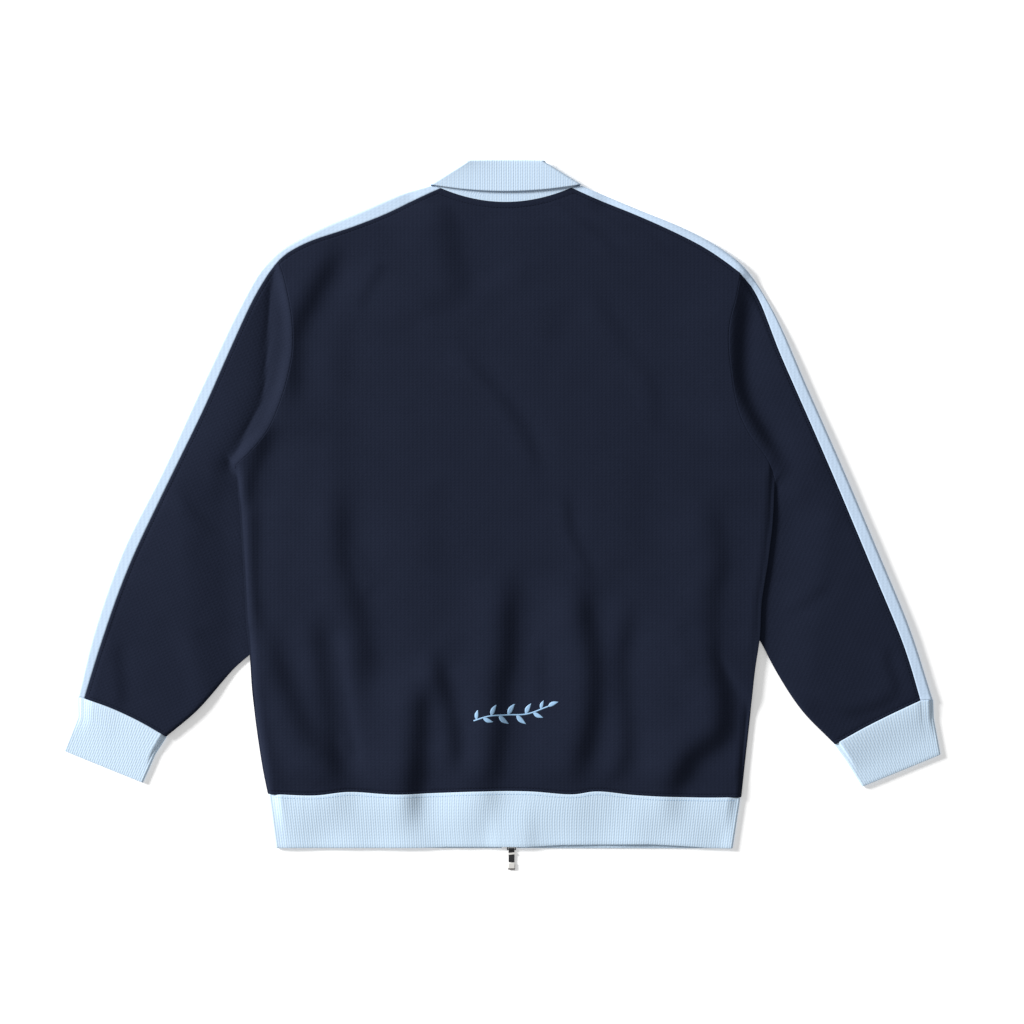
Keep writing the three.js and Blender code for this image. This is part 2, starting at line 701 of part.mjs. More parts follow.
// The stripe's section at each station: flat on top, round the fold, flat underneath
function stripeGrid(half, heights) {
  const { top, outer, under } = SEAMS.get(half);
  const grid = top.map((here, k) => {
    const high = heights[k];
    const low = mix(RIB_LOW + RIB_RISE, FIRST_LAYER, ease((k - 0.5) / 3));
    const radius = (high - low) / 2;
    const outwards = outer[k].clone().sub(here).setZ(0).normalize();
    const centre = outer[k].clone().addScaledVector(outwards, -CLOTH / 2 - radius);
    const start = here.clone().addScaledVector(outwards, SEAM_GAP / 2).setZ(high);
    const end = under[k].clone();
    pullIn(end, outer[k], SEAM_GAP / 2);
    const round = STRIPE_ANGLES.map((angle) => {
      const turn = THREE.MathUtils.degToRad(angle);
      const place = centre.clone().addScaledVector(outwards, radius * Math.cos(turn));
      return place.setZ((high + low) / 2 + radius * Math.sin(turn));
    });
    return [start, ...round, end.setZ(low)];
  });
  grid[0].forEach((place, j) => pullIn(place, grid[1][j], SEAM_GAP));
  grid.at(-1).forEach((place, j) => pullIn(place, grid.at(-2)[j], SEAM_GAP / 2));
  return grid;
}

function addCloth() {
  const back = backGrid();
  const backEnd = back[0].length - 1;
  const bodyEdge = (i) => (i < STEPS.side ? "fold" : "seam");
  const backEdge = (i, j) => {
    if (j === 0 || j === backEnd) return bodyEdge(i);
    return i === 0 || i === SIDE_ROWS ? "seam" : "";
  };
  add("back", wall(back, CLOTH, backEdge), NAVY);
  for (const half of [LEFT, RIGHT]) {
    const front = frontGrid(half);
    const frontEdge = (i, j) => {
      if (j === 0) return bodyEdge(i);
      return i === 0 || i === SIDE_ROWS || j === front[0].length - 1 ? "seam" : "";
    };
    add("front_" + half.name, wall(front, CLOTH, frontEdge), NAVY);

    const sleeveEdge = (i, j) => (j === 0 || j === SLEEVE_COLUMNS || i === 0 || i === SLEEVE_ROWS ? "seam" : "");
    const sleeve = sleeveGrid(half, false);
    add("sleeve_back_" + half.name, wall(sleeve, CLOTH, sleeveEdge), NAVY);
    add("sleeve_front_" + half.name, wall(sleeveGrid(half, true), CLOTH, sleeveEdge), NAVY);

    const shoulder = SEAMS.get(half).top.slice(0, STEPS.shoulder + 1);
    const heights = [
      ...shoulder.map((place) => backHeight(place.x, place.y)),
      ...column(sleeve, 0).slice(1).map((place) => place.z),
    ];
    const stripe = stripeGrid(half, heights);
    const stripeEdge = (i, j) => (j === 0 || j === stripe[0].length - 1 ? "seam" : "");
    add("stripe_" + half.name, wall(stripe, CLOTH, stripeEdge), SKY);
  }
}

// Knit rib, lying as a flattened ring

// A place on a flattened ring. turn runs from one end (-3), round a side (-2 to -1), over the upper half (-1 to 1)
// and round the other side to the other end (3). out is how far the place stands out of the ring.
function ringPoint(ring, turn, out) {
  const radius = (ring.high - ring.low) / 2;
  const chord = ring.right.clone().sub(ring.left);
  const reach = chord.length() / 2;
  const way = Math.sign(turn);
  const amount = Math.abs(turn);
  const angle = Math.PI * Math.min(1, Math.max(0, amount - 1));
  const straight = reach - radius;
  const spread = amount <= 1 ? straight * amount : straight + radius * Math.sin(angle);
  const end = way < 0 ? -ring.ends[0] : ring.ends[1];
  const distance = amount > 2 ? mix(straight, end, amount - 2) : spread;
  const share = Math.min(1, distance / reach);
  const reached = distance + out * Math.sin(angle);
  const place = ring.left.clone().lerp(ring.right, 0.5).addScaledVector(chord.normalize(), way * reached);
  place.y += ring.bow(way * share, amount > 1.5);
  const shift = amount <= 1 ? ring.over : ring.beneath;
  const rise = shift && (amount <= 1 || amount > 2) ? shift(place, share) : 0;
  place.z = (ring.high + ring.low) / 2 + (radius + out) * Math.cos(angle) + rise;
  place.turn = turn;
  return place;
}

const PLAIN_TURNS = [
  ...[-3, -2.75, -2.5, -2.25, -2, -1.75, -1.5, -1.25],
  ...Array.from({ length: 15 }, (_, k) => -1 + k / 7),
  ...[1.25, 1.5, 1.75, 2, 2.25, 2.5, 2.75, 3],
];

// The same turns with a ridge and a furrow for each rib of the upper half. A ridge of 1 stands out, 0 doesn't.
function ribTurns(length) {
  const ribs = Math.round(length / RIB_PITCH);
  const sides = PLAIN_TURNS.filter((turn) => Math.abs(turn) > 1).map((turn) => ({ turn, ridge: 0 }));
  const upper = Array.from({ length: 2 * ribs + 1 }, (_, k) => ({ turn: -1 + k / ribs, ridge: k % 2 }));
  return [...sides.filter(({ turn }) => turn < 0), ...upper, ...sides.filter(({ turn }) => turn > 0)];
}

const plainRow = (ring, out) => PLAIN_TURNS.map((turn) => ringPoint(ring, turn, out));
const ribRow = (ring, turns, out, relief = RIB_RELIEF) =>
  turns.map(({ turn, ridge }) => ringPoint(ring, turn, out + ridge * relief));

// How far the straight line between two ends lies below a seam, less the gap, at a share from -1 to 1
function towardsSeam(seam, left, right) {
  const turned = seam.map((place) => ({ x: place.y, y: place.x }));
  return (share) => {
    const across = (share + 1) / 2;
    return xAt(turned, mix(left.x, right.x, across)) - SEAM_GAP - mix(left.y, right.y, across);
  };
}

function addCuff(half) {
  const rings = half.cuff.map((row, index) => {
    const [left, right] = half.sign < 0 ? [row.outer, row.inner] : [row.inner, row.outer];
    const [above, beneath] = [false, true].map((underneath) => {
      return towardsSeam([half.outline.at(-1), ...cuffEdge(half, underneath)], left, right);
    });
    return {
      left: point(left.x, left.y),
      right: point(right.x, right.y),
      low: RIB_LOW,
      high: RIB_LOW + RIB_RISE,
      ends: [0, 0],
      bow: (share, below) => {
        if (index) return 0;
        return below ? beneath(share) : above(share);
      },
    };
  });
  const turns = ribTurns(rings[2].left.distanceTo(rings[2].right));
  const outer = rings.map((ring) => ribRow(ring, turns, RIB_WALL / 2));
  const inner = rings.map((ring, index) => {
    return index ? plainRow(ring, -RIB_WALL / 2) : ribRow(ring, turns, -RIB_WALL / 2, 0);
  });
  add("cuff_" + half.name, solid(closedWall(outer, inner, true)), SKY);
}

function addHem() {
  const seam = spaced(HEM_SEAM, 2 * STEPS.shoulder + STEPS.neck);
  const rings = [0, 1].map((foot) => {
    const left = point(LEFT.hem[foot].x, LEFT.hem[foot].y);
    const right = point(RIGHT.hem[foot].x, RIGHT.hem[foot].y);
    const toSeam = towardsSeam(seam, left, right);
    return {
      left,
      right,
      low: RIB_LOW,
      high: RIB_LOW + RIB_RISE,
      ends: [(left.x + right.x) / 2 - ZIP_X + FRONT_EDGE, ZIP_X + FRONT_EDGE - (left.x + right.x) / 2],
      bow: (share, below) => {
        const away = Math.min(1, (1 - Math.abs(share)) * 12);
        if (below) return 0;
        return away * (foot ? HEM_RISE : toSeam(share));
      },
      over: (place) => ZIP_RISE * ease((30 - Math.abs(place.x - ZIP_X)) / 18),
    };
  });
  const turns = ribTurns(rings[1].right.x - rings[1].left.x);
  const outer = rings.map((ring) => ribRow(ring, turns, RIB_WALL / 2));
  const inner = [ribRow(rings[0], turns, -RIB_WALL / 2, 0), plainRow(rings[1], -RIB_WALL / 2)];
  add("hem_rib", solid(closedWall(outer, inner)), SKY);
}

// The ring that the collar makes at one level of its stand or of the leaf that it turns down into
function collarRing(level, low, high, over, beneath) {
  return {
    left: point(COLLAR_X - level.a, level.side),
    right: point(COLLAR_X + level.a, level.side),
    low,
    high,
    ends: [COLLAR_X - ZIP_X + COLLAR_END, ZIP_X + COLLAR_END - COLLAR_X],
    bow: (share, below) => (1 - share * share) * ((below ? level.front : level.back) - level.side),
    over,
    beneath,
  };
}

function mixLevel(from, to, share) {
  return Object.fromEntries(Object.keys(from).map((key) => [key, mix(from[key], to[key], share)]));
}

function addCollar() {
  const { neck, fold, edge } = COLLAR;
  const low = RIB_LOW + RIB_RISE;
  const neckHigh = backHeight(COLLAR_X - neck.a, neck.side);
  const sag = (_, share) => -COLLAR_SAG * (1 - share * share);
  const stand = (share) => {
    const over = (place, across) => share * sag(place, across);
    const beneath = (place) => (share ? 0 : -RIB_RISE * nearZip(place.x));
    return collarRing(mixLevel(neck, fold, share), low, mix(neckHigh, COLLAR_HIGH, share), over, beneath);
  };
  const turnedFold = { ...fold, a: fold.a + RIB_RISE, side: fold.side + TURN_RISE };
  const leaf = (share) => {
    const high = mix(COLLAR_HIGH, neckHigh, share) + RIB_RISE + 0.4 * share;
    const over = (place, across) => (1 - share) * sag(place, across);
    return collarRing(mixLevel(turnedFold, edge, share), RIB_LOW, high, over);
  };
  const half = RIB_WALL / 2;
  const turns = ribTurns(2 * edge.a);
  const overFold = (row, reach) => {
    row.forEach((place) => {
      place.y += reach + TURN_RISE * ((place.x - COLLAR_X) / fold.a) ** 2;
    });
    return row;
  };
  const outer = [
    ribRow(stand(0), turns, -half, 0),
    plainRow(stand(0.25), -half),
    plainRow(stand(1), -half),
    overFold(ribRow(stand(1), turns, RIB_RISE / 2, 0), RIB_RISE / 2 + half),
    ribRow(leaf(0), turns, half),
    ribRow(leaf(1), turns, half),
  ];
  const inner = [
    ribRow(stand(0), turns, half),
    ribRow(stand(0.25), turns, half, 0),
    plainRow(stand(0.7), half),
    plainRow(stand(1), half),
    overFold(plainRow(stand(1), RIB_RISE / 2), RIB_RISE / 2 - half),
    plainRow(leaf(0), -half),
    ribRow(leaf(1), turns, -half, 0),
  ];
  add("collar", solid(closedWall(outer, inner)), SKY);
}

// Zip

const wasm = await Module();
wasm.setup();

function toSolid(geometry) {
  const bare = geometry.clone();
  bare.deleteAttribute("normal");
  bare.deleteAttribute("uv");
  const merged = mergeVertices(bare);
  const mesh = new wasm.Mesh({
    numProp: 3,
    vertProperties: new Float32Array(merged.attributes.position.array),
    triVerts: new Uint32Array(merged.index.array),
  });
  return new wasm.Manifold(mesh);
}

function union(geometries) {
  const mesh = geometries.map(toSolid).reduce((a, b) => a.add(b)).getMesh();
  const geometry = new THREE.BufferGeometry();
  geometry.setAttribute("position", new THREE.BufferAttribute(mesh.vertProperties, 3));
  geometry.setIndex(new THREE.BufferAttribute(mesh.triVerts, 1));
  geometry.computeVertexNormals();
  return geometry;
}

// A block between two x, two y and two z
function block(x, y, z) {
  const box = new THREE.BoxGeometry(x[1] - x[0], y[1] - y[0], z[1] - z[0]);
  return box.translate((x[0] + x[1]) / 2, (y[0] + y[1]) / 2, (z[0] + z[1]) / 2);
}

const about = (width) => [ZIP_X - width / 2, ZIP_X + width / 2];

// An outline drawn in y and z, made as wide as given about the middle of the zip
function acrossZip(shape, width) {
  const geometry = new THREE.ExtrudeGeometry(shape, { depth: width, bevelEnabled: false, curveSegments: 10 });
  const basis = new THREE.Matrix4().makeBasis(point(0, 1, 0), point(0, 0, 1), point(1, 0, 0));
  return geometry.applyMatrix4(basis).translate(ZIP_X - width / 2, 0, 0);
}

function addZip() {
  const sliderEnd = ZIP_FOOT + SLIDER.length;
  const upperSlider = ZIP_HEAD - SLIDER.length;
  add("zip_tape", block(about(TAPE.width), [sliderEnd, ZIP_HEAD], [TAPE.low, TAPE.low + TAPE.thick]), NAVY);
  const chainY = [sliderEnd + SEAM_GAP, upperSlider - SEAM_GAP];
  add("zip_chain", block(about(CHAIN.width), chainY, [CHAIN.low, CHAIN.high]), BLACK);
  add("zip_slider_upper", block(about(SLIDER.width), [upperSlider, ZIP_HEAD], [0, SLIDER.high]), METAL);

  const earWidth = 1;
  const earEnd = PULL_PIN.y - 1;
  const ear = (x) => block([x, x + earWidth], [earEnd, ZIP_FOOT + 1], [0, SLIDER.high]);
  const pin = new THREE.CylinderGeometry(PULL_PIN.radius, PULL_PIN.radius, SLIDER.width - earWidth, 12);
  const lower = [
    block(about(SLIDER.width), [ZIP_FOOT, sliderEnd], [0, SLIDER.high]),
    ear(ZIP_X - SLIDER.width / 2),
    ear(ZIP_X + SLIDER.width / 2 - earWidth),
    pin.rotateZ(Math.PI / 2).translate(ZIP_X, PULL_PIN.y, PULL_PIN.z),
  ];
  add("zip_slider_lower", union(lower), METAL);
}

function addPull() {
  const { y, z } = PULL_PIN;
  const shape = new THREE.Shape();
  const from = Math.PI + Math.asin((z - PULL.low) / PULL.barrel);
  const to = 3 * Math.PI - Math.asin((PULL.high - z) / PULL.barrel);
  shape.moveTo(PULL.end, PULL.low);
  shape.absarc(y, z, PULL.barrel, from, to, false);
  shape.lineTo(PULL.end, PULL.high);
  shape.holes.push(new THREE.Path().absarc(y, z, PULL.bore, 0, 2 * Math.PI, false));
  add("pull_tab", acrossZip(shape, PULL.width), BLACK);

  const ring = new THREE.Shape();
  const half = BAND.width / 2;
  ring.moveTo(-half, 0).lineTo(half, 0).lineTo(half, BAND.high).lineTo(-half, BAND.high);
  const hole = new THREE.Path();
  const inside = half - BAND.wall;
  hole.moveTo(-inside, BAND.wall).lineTo(-inside, BAND.high - BAND.wall);
  hole.lineTo(inside, BAND.high - BAND.wall).lineTo(inside, BAND.wall);
  ring.holes.push(hole);
  const band = new THREE.ExtrudeGeometry(ring, { depth: BAND.length, bevelEnabled: false });
  band.translate(0, 0, -BAND.length / 2).rotateX(Math.PI / 2).rotateZ(BAND.tilt).translate(ZIP_X, BAND.y, 0);
  add("pull_band", band, METAL);

  const cap = new THREE.Shape();
  const side = CAP.width / 2;
  cap.moveTo(-side, CAP.start).lineTo(-side, CAP.end + 1.5);
  cap.quadraticCurveTo(-side, CAP.end, -side + 1.5, CAP.end);
  cap.lineTo(side - 1.5, CAP.end).quadraticCurveTo(side, CAP.end, side, CAP.end + 1.5).lineTo(side, CAP.start);
  const end = new THREE.ExtrudeGeometry(cap, { depth: CAP.high - CAP.low, bevelEnabled: false, curveSegments: 5 });
  add("pull_cap", end.translate(ZIP_X, 0, CAP.low), METAL);
}

addCloth();
addCuff(LEFT);
addCuff(RIGHT);
addHem();
addCollar();
addZip();
addPull();

// The origin is under the middle of the whole jacket, on the surface that it lies on
const bounds = new THREE.Box3().setFromObject(jacket);
const centre = bounds.getCenter(new THREE.Vector3());
jacket.position.set(-centre.x, -centre.y, -bounds.min.z);

export default jacket;
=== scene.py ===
import bpy
import numpy as np
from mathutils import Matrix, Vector
from mathutils.bvhtree import BVHTree


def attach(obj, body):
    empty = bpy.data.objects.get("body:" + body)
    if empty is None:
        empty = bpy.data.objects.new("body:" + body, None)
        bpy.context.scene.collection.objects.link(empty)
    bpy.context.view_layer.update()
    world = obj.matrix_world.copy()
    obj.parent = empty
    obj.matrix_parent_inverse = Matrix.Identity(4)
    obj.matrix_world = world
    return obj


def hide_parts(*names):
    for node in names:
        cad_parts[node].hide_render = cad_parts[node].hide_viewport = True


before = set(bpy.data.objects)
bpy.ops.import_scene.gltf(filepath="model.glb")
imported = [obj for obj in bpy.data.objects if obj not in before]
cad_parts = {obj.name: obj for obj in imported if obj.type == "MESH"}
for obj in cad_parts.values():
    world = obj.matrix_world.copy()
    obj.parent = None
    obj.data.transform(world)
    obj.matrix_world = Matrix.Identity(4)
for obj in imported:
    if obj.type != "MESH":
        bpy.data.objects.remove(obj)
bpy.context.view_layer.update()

# From the garment's table frame to the part's frame
MIDDLE = np.array([4.0006, -349.575, 0.0])

# Walls, seams and knit ribs
CLOTH = 1.2
RIB_WALL = 1.5
SEAM_GAP = 0.3
RIB_PITCH = 2.48
RIB_RELIEF = 0.14
FOLD_RADIUS = 4
EDGE_INSET = 0.1
ROLL_INSET = 0.5

# From a fold's middle to the middles of the two walls that meet there
MEET = 0.62

# Heights of the middle of each layer over the surface that the jacket lies on
FIRST_LAYER = CLOTH / 2
LAYER = CLOTH + SEAM_GAP
TUCK_LIFT = 2 * LAYER + 0.1
RIB_LOW = RIB_WALL / 2
RIB_RISE = 2.4

# Air between the layers
EDGE_PILLOW = 0.9
PILLOW = 4.2
SLEEVE_EDGE = 1.3
SLEEVE_PILLOW = 2.8

# Where the cloth's height changes: the place where each change begins and the place where it is done.
# Those on the body are heights y or distances x from its middle. Others say what they are measured from.
NECK_UP = (560, 600)
NECK_ACROSS = (125, 85)
HEM_UP = (57, 87)
SHOULDER_UP = (690, 650)
SIDE_UP = (380, 420)
ARMHOLE_FOOT = (395, 445)
ARMHOLE_TOP = (625, 565)
FROM_SIDE = (0, 8)
FROM_ARMHOLE = (70, 0)
FROM_ZIP = (30, 12)
FLAT_BY_ZIP = (34, 18)
FROM_FRONT_NECK = (-22, -2)
TUCK_FROM_EDGE = (78, 50)
TUCK_FROM_ARMPIT = (36, 6)
COVER_FROM_SIDE = (64, 8)
COVER_FROM_ARMPIT = (0, -45)
SLEEVE_FROM_ARMPIT = (-10, 30)

# How far the body stands up at the armhole seam, and how far a sleeve still follows it beyond
ARMHOLE_RISE = 2.2
ARMHOLE_REACH = 9

# Zip
ZIP_X = 5.8
ZIP_FOOT = 2
ZIP_HEAD = 606
FRONT_EDGE = 5.5
SLIDER_FOOT = 0.7
ZIP_RISE = 0.9

# Collar
COLLAR_X = -0.5
COLLAR_HIGH = 5.8
COLLAR_SAG = 1.6
COLLAR_END = 0.6
TURN_RISE = 2
NECK = {"a": 74, "side": 695, "back": 677.8, "front": 612}
FOLD = {"a": 39.1, "side": 717.2, "back": 719.9, "front": 657}
EDGE = {"a": 78.4, "side": 696.5, "back": 689.4, "front": 629}
NECK_LIFT = 3
ZIP_LIFT = 1.5
NECK_CORNER = 68.5
STRIPE_UNDER = 18
LEAF_ROWS = 46

HEM_SEAM = [
    (-250, 57.5), (-200, 56), (-166, 59.5), (-115, 57), (-27, 60), (25, 60),
    (70, 57), (95, 60), (137, 56), (204, 53.5), (247, 54),
]

LEFT = {
    "name": "left",
    "sign": -1,
    "side": [
        (-250, 57.5), (-255, 82), (-261.5, 124), (-266.5, 166), (-269, 202.5),
        (-272.5, 235), (-275, 283.5), (-278, 332), (-283.5, 401),
    ],
    "armhole": [
        (-283.5, 401), (-268, 415), (-248, 441), (-234, 474.5), (-227.5, 498),
        (-223.5, 522), (-224, 555.5), (-231, 593), (-238, 618.5),
    ],
    "shoulder": [
        (-68.5, 692.3), (-94.5, 680.5), (-124.5, 665.5), (-161.5, 651), (-211, 634), (-238, 618.5),
    ],
    "stripe_seam": [
        (-238, 618.5), (-259.5, 586), (-289, 523), (-317, 460), (-358, 376), (-397, 292),
        (-426.5, 208), (-442, 157.5),
    ],
    "outline": [
        (-81, 694.5), (-112.5, 685.5), (-150, 670), (-199.5, 649), (-237.5, 628), (-257, 607),
        (-281.5, 565), (-321.5, 481), (-360, 397), (-402, 313), (-432.5, 229), (-449.5, 159.5),
    ],
    "dive": (-280, 388),
    "tuck": (-185, 284.5),
    "emerge": (-269, 202.5),
    "inner_edge": [(-269, 202.5), (-286.5, 187), (-323.5, 145), (-356, 117.5)],
    "cuff_seam": [(-442, 157.5), (-414, 147.5), (-385, 134), (-356, 117.5)],
    "cuff": [
        ((-449.5, 159), (-356.5, 117)),
        ((-449, 138), (-368.5, 99)),
        ((-463, 102.7), (-381.5, 69.7)),
    ],
    "hem": [(-248.5, 56.9), (-241, 1)],
}

RIGHT = {
    "name": "right",
    "sign": 1,
    "side": [
        (247, 54), (250, 82), (257, 145), (261.5, 187), (266.5, 221.5),
        (268.5, 258.5), (275, 300.5), (280, 343.5), (282, 386.5),
    ],
    "armhole": [
        (282, 386.5), (274.5, 406.5), (254.5, 434.5), (243, 460), (236, 498),
        (233, 531.5), (234.5, 552), (242, 582), (245, 604),
    ],
    "shoulder": [
        (68.5, 692.8), (95.5, 680.5), (122, 670), (170, 649), (211, 628), (245, 604),
    ],
    "stripe_seam": [
        (245, 604), (260.5, 586), (285.5, 523), (313, 460), (349.5, 376), (384.5, 292),
        (419, 208), (434.5, 155.5),
    ],
    "outline": [
        (80, 694.5), (113.5, 680.5), (138.5, 670), (189, 649), (227, 628), (252, 607),
        (279.5, 565), (317, 481), (354, 397), (389.5, 313), (424, 229), (447.5, 156),
    ],
    "dive": (279, 374),
    "tuck": (203.5, 297),
    "emerge": (266.5, 217.5),
    "inner_edge": [(266.5, 217.5), (282.5, 187), (310, 145), (344.5, 109.5)],
    "cuff_seam": [(434.5, 155.5), (408, 143), (376, 127), (344.5, 109.5)],
    "cuff": [
        ((447.5, 155.5), (345, 109)),
        ((448, 136), (357.5, 92)),
        ((455, 98.7), (374, 65.5)),
    ],
    "hem": [(245, 53.4), (237, 0.5)],
}

# Creases of the back: where each runs, its width, how far the cloth takes to come level again, and how
# much lower the cloth is on its right than on its left, going down the line. A negative drop makes the
# left the lower one.
BACK_CREASES = [
    ([(-166, 645), (-187, 606), (-203, 576), (-220, 538), (-222, 484), (-226, 450)], 16, 38, 14),
    ([(-246, 455), (-254, 425), (-266, 385), (-271, 350)], 15, 33, 13),
    ([(-264, 380), (-263, 344), (-262, 260), (-250, 215)], 9, 24, 5.9),
    ([(-256, 240), (-242, 208), (-223, 155), (-203, 113), (-179, 89), (-150, 50)], 19, 38, 23),
    ([(-262, 190), (-255, 140), (-237, 71), (-230, 40)], 11, 22, 3.8),
    ([(-200, 262), (-197, 232), (-190, 169), (-185, 137), (-179, 92), (-176, 60)], 17, 36, 15),
    ([(-178, 240), (-172, 211), (-163, 155), (-155, 106), (-150, 70)], 9, 16, -5.2),
    (
        [(-174, 400), (-172, 365), (-169, 302), (-157, 260), (-148, 218), (-146, 166), (-146, 140)],
        19, 40, 16,
    ),
    ([(-162, 590), (-169, 544), (-171, 397), (-172, 350)], 18, 34, 3.8),
    ([(-86, 185), (-88, 158), (-90, 121), (-95, 68), (-98, 30)], 19, 36, 28),
    ([(-80, 215), (-71, 190), (-61, 155), (-55, 127), (-53, 100), (-53, 70)], 14, 30, 17),
    ([(8, 310), (6, 278), (2, 197), (-4, 169), (-6, 121), (-14, 68), (-20, 30)], 21, 40, 26),
    ([(76, 300), (81, 274), (86, 236), (93, 197), (93, 155), (86, 113), (77, 74), (72, 50)], 19, 38, 25),
    (
        [(134, 275), (130, 250), (122, 197), (125, 148), (127, 103), (122, 85), (101, 68), (85, 60)],
        15, 31, 13,
    ),
    ([(60, 380), (65, 355), (69, 331), (86, 295), (92, 275)], 8, 18, 3.8),
    ([(37, 225), (37, 208), (37, 166), (37, 145)], 10, 20, 3.4),
    ([(210, 385), (219, 347), (227, 302), (219, 260), (219, 200), (222, 170)], 21, 42, 16),
    ([(219, 230), (221, 200), (230, 155), (226, 121), (195, 95), (177, 64), (165, 35)], 18, 38, 24),
    ([(180, 245), (185, 229), (195, 194), (200, 175)], 11, 22, 3.4),
    ([(-60, 535), (-48, 522), (-10, 480), (19, 438), (31, 408), (36, 380)], 10, 22, 5.2),
    ([(-95, 562), (-69, 556), (-31, 540), (-10, 528)], 11, 22, 2.9),
    ([(-50, 700), (-56, 680), (-58, 650), (-50, 610), (-34, 570)], 24, 55, 12),
    ([(45, 690), (56, 677), (82, 656), (103, 639), (125, 622)], 8, 16, 4),
    ([(70, 685), (88, 673), (111, 660), (149, 643), (175, 628)], 6, 14, 3.6),
    ([(80, 600), (98, 575), (119, 538), (153, 488), (157, 450), (158, 420)], 12, 25, 3.4),
    ([(-125, 620), (-132, 606), (-145, 585), (-155, 560)], 9, 20, 2.9),
    ([(5, 590), (15, 586), (57, 575), (46, 533), (40, 515)], 19, 32, 3.2),
    ([(150, 430), (140, 380), (138, 330), (145, 290)], 22, 42, 3.4),
    ([(-70, 400), (-75, 330), (-68, 270), (-72, 220)], 22, 42, 3.2),
]

# Creases of the sleeves' upper halves
SLEEVE_CREASES = [
    ([(-300, 530), (-326, 486), (-374, 386), (-410, 292), (-420, 240)], 16, 34, 13),
    ([(-350, 380), (-337, 365), (-284, 313), (-270, 300)], 9, 18, 5.9),
    ([(-325, 235), (-311, 229), (-274, 218), (-262, 214)], 9, 16, -4.7),
    ([(-410, 225), (-407, 202), (-403, 166), (-402, 140)], 10, 18, 5.5),
    ([(-355, 250), (-342, 218), (-321, 166), (-315, 145)], 15, 26, -3.8),
    ([(243, 610), (248, 585), (243, 543), (245, 484), (262, 446), (287, 407), (300, 385)], 11, 36, 15),
    ([(262, 220), (272, 229), (330, 271), (345, 285)], 9, 18, -4.7),
    ([(310, 165), (324, 155), (361, 143), (403, 157), (418, 168)], 10, 18, -6.8),
    ([(396, 215), (400, 195), (408, 170), (410, 155)], 8, 14, 4.7),
    ([(322, 430), (335, 395), (350, 350), (352, 320)], 15, 28, 3),
]

# The sharp valley beside the left armhole: where it runs, its width and its depth
VALLEY = [
    (-241, 612), (-245, 596), (-250, 533), (-256, 470), (-264, 455), (-279, 423), (-286, 404), (-290, 395),
]
VALLEY_WIDTH = 9
VALLEY_DEPTH = 3.6
VALLEY_HEAD = (5, -20)
VALLEY_END = (-10, 10)

# How many steps a crease's line is cut into, and the share of it over which each end fades
CREASE_STEPS = 20
CREASE_FADE = 0.25

# Distances from an edge, in millimetres, at which a grid has its closest rows
SEAM_STEPS = [0, 0.3, 0.7, 1.2, 1.9, 2.6, 3.2, 3.8, 4.5, 5.4, 6.2, 7]
ROLL_STEPS = [0, 0.09, 0.34, 0.76, 1.33, 2, 2.8, 4, 5.2]

# The seam's ditch and the groove under a line of stitches
DITCH = 0.5
DITCH_WIDTH = 1.3
GROOVE = 0.28
STITCH_PITCH = 3.1
STITCH_GAP = 0.7
STITCH_RADIUS = 0.2
STITCH_POINTS = 30
STITCHES = {"neck": 6.2, "shoulder": 3.8, "stripe": 3.6, "hem": 3.2, "cuff": 3.2}


def ease(share):
    t = np.clip(share, 0, 1)
    return t * t * (3 - 2 * t)


def ramp(value, start, end):
    """0 up to a start, 1 from an end on, and smooth between them"""
    return ease((value - start) / (end - start))


def mix(a, b, share):
    return a + (b - a) * share


def spaced(rows, steps):
    """Evenly spaced points on a smooth line through a table's rows"""
    p = np.array(rows, float)
    p = np.vstack([2 * p[0] - p[1], p, 2 * p[-1] - p[-2]])
    gap = np.sqrt(np.linalg.norm(np.diff(p, axis=0), axis=1))
    t = np.linspace(0, 1, 40, endpoint=False)[:, None]
    parts = []
    for i in range(1, len(p) - 2):
        a, b = p[i], p[i + 1]
        before, here, after = gap[i - 1 : i + 2]
        start = ((a - p[i - 1]) / before - (b - p[i - 1]) / (before + here) + (b - a) / here) * here
        end = ((b - a) / here - (p[i + 2] - a) / (here + after) + (p[i + 2] - b) / after) * here
        bend = -3 * a + 3 * b - 2 * start - end
        parts.append(a + start * t + bend * t**2 + (2 * a - 2 * b + start + end) * t**3)
    return evened(np.vstack([*parts, p[-2:-1]]), steps)


def evened(line, steps):
    """The same line in steps of one length"""
    far = np.append(0, np.cumsum(np.linalg.norm(np.diff(line, axis=0), axis=1)))
    places = np.linspace(0, far[-1], steps + 1)
    return np.stack([np.interp(places, far, line[:, k]) for k in range(line.shape[1])], axis=1)


def at(line, share):
    """The points at shares of a list of points"""
    place = np.asarray(share) * (len(line) - 1)
    index = np.arange(len(line))
    return np.stack([np.interp(place, index, line[:, k]) for k in range(line.shape[1])], axis=-1)


def x_at(rows, y):
    line = np.array(rows, float)
    if line[0, 1] > line[-1, 1]:
        line = line[::-1]
    return np.interp(y, line[:, 1], line[:, 0])


def joined(*stretches):
    return np.vstack([stretches[0], *(stretch[1:] for stretch in stretches[1:])])


def rounded(line, reach):
    """A line with its corners rounded over a number of steps, and its ends where they were"""
    window = np.ones(2 * reach + 1) / (2 * reach + 1)
    padded = np.pad(line, ((reach, reach), (0, 0)), mode="reflect", reflect_type="odd")
    return np.stack([np.convolve(padded[:, k], window, "valid") for k in range(line.shape[1])], axis=1)


def unit(way):
    return way / np.linalg.norm(way, axis=-1, keepdims=True)


def turned_left(way):
    return np.stack([-way[..., 1], way[..., 0]], axis=-1)


def lifted(grid, z):
    """A flat grid with its heights"""
    return np.concatenate([grid, z[..., None]], axis=-1)


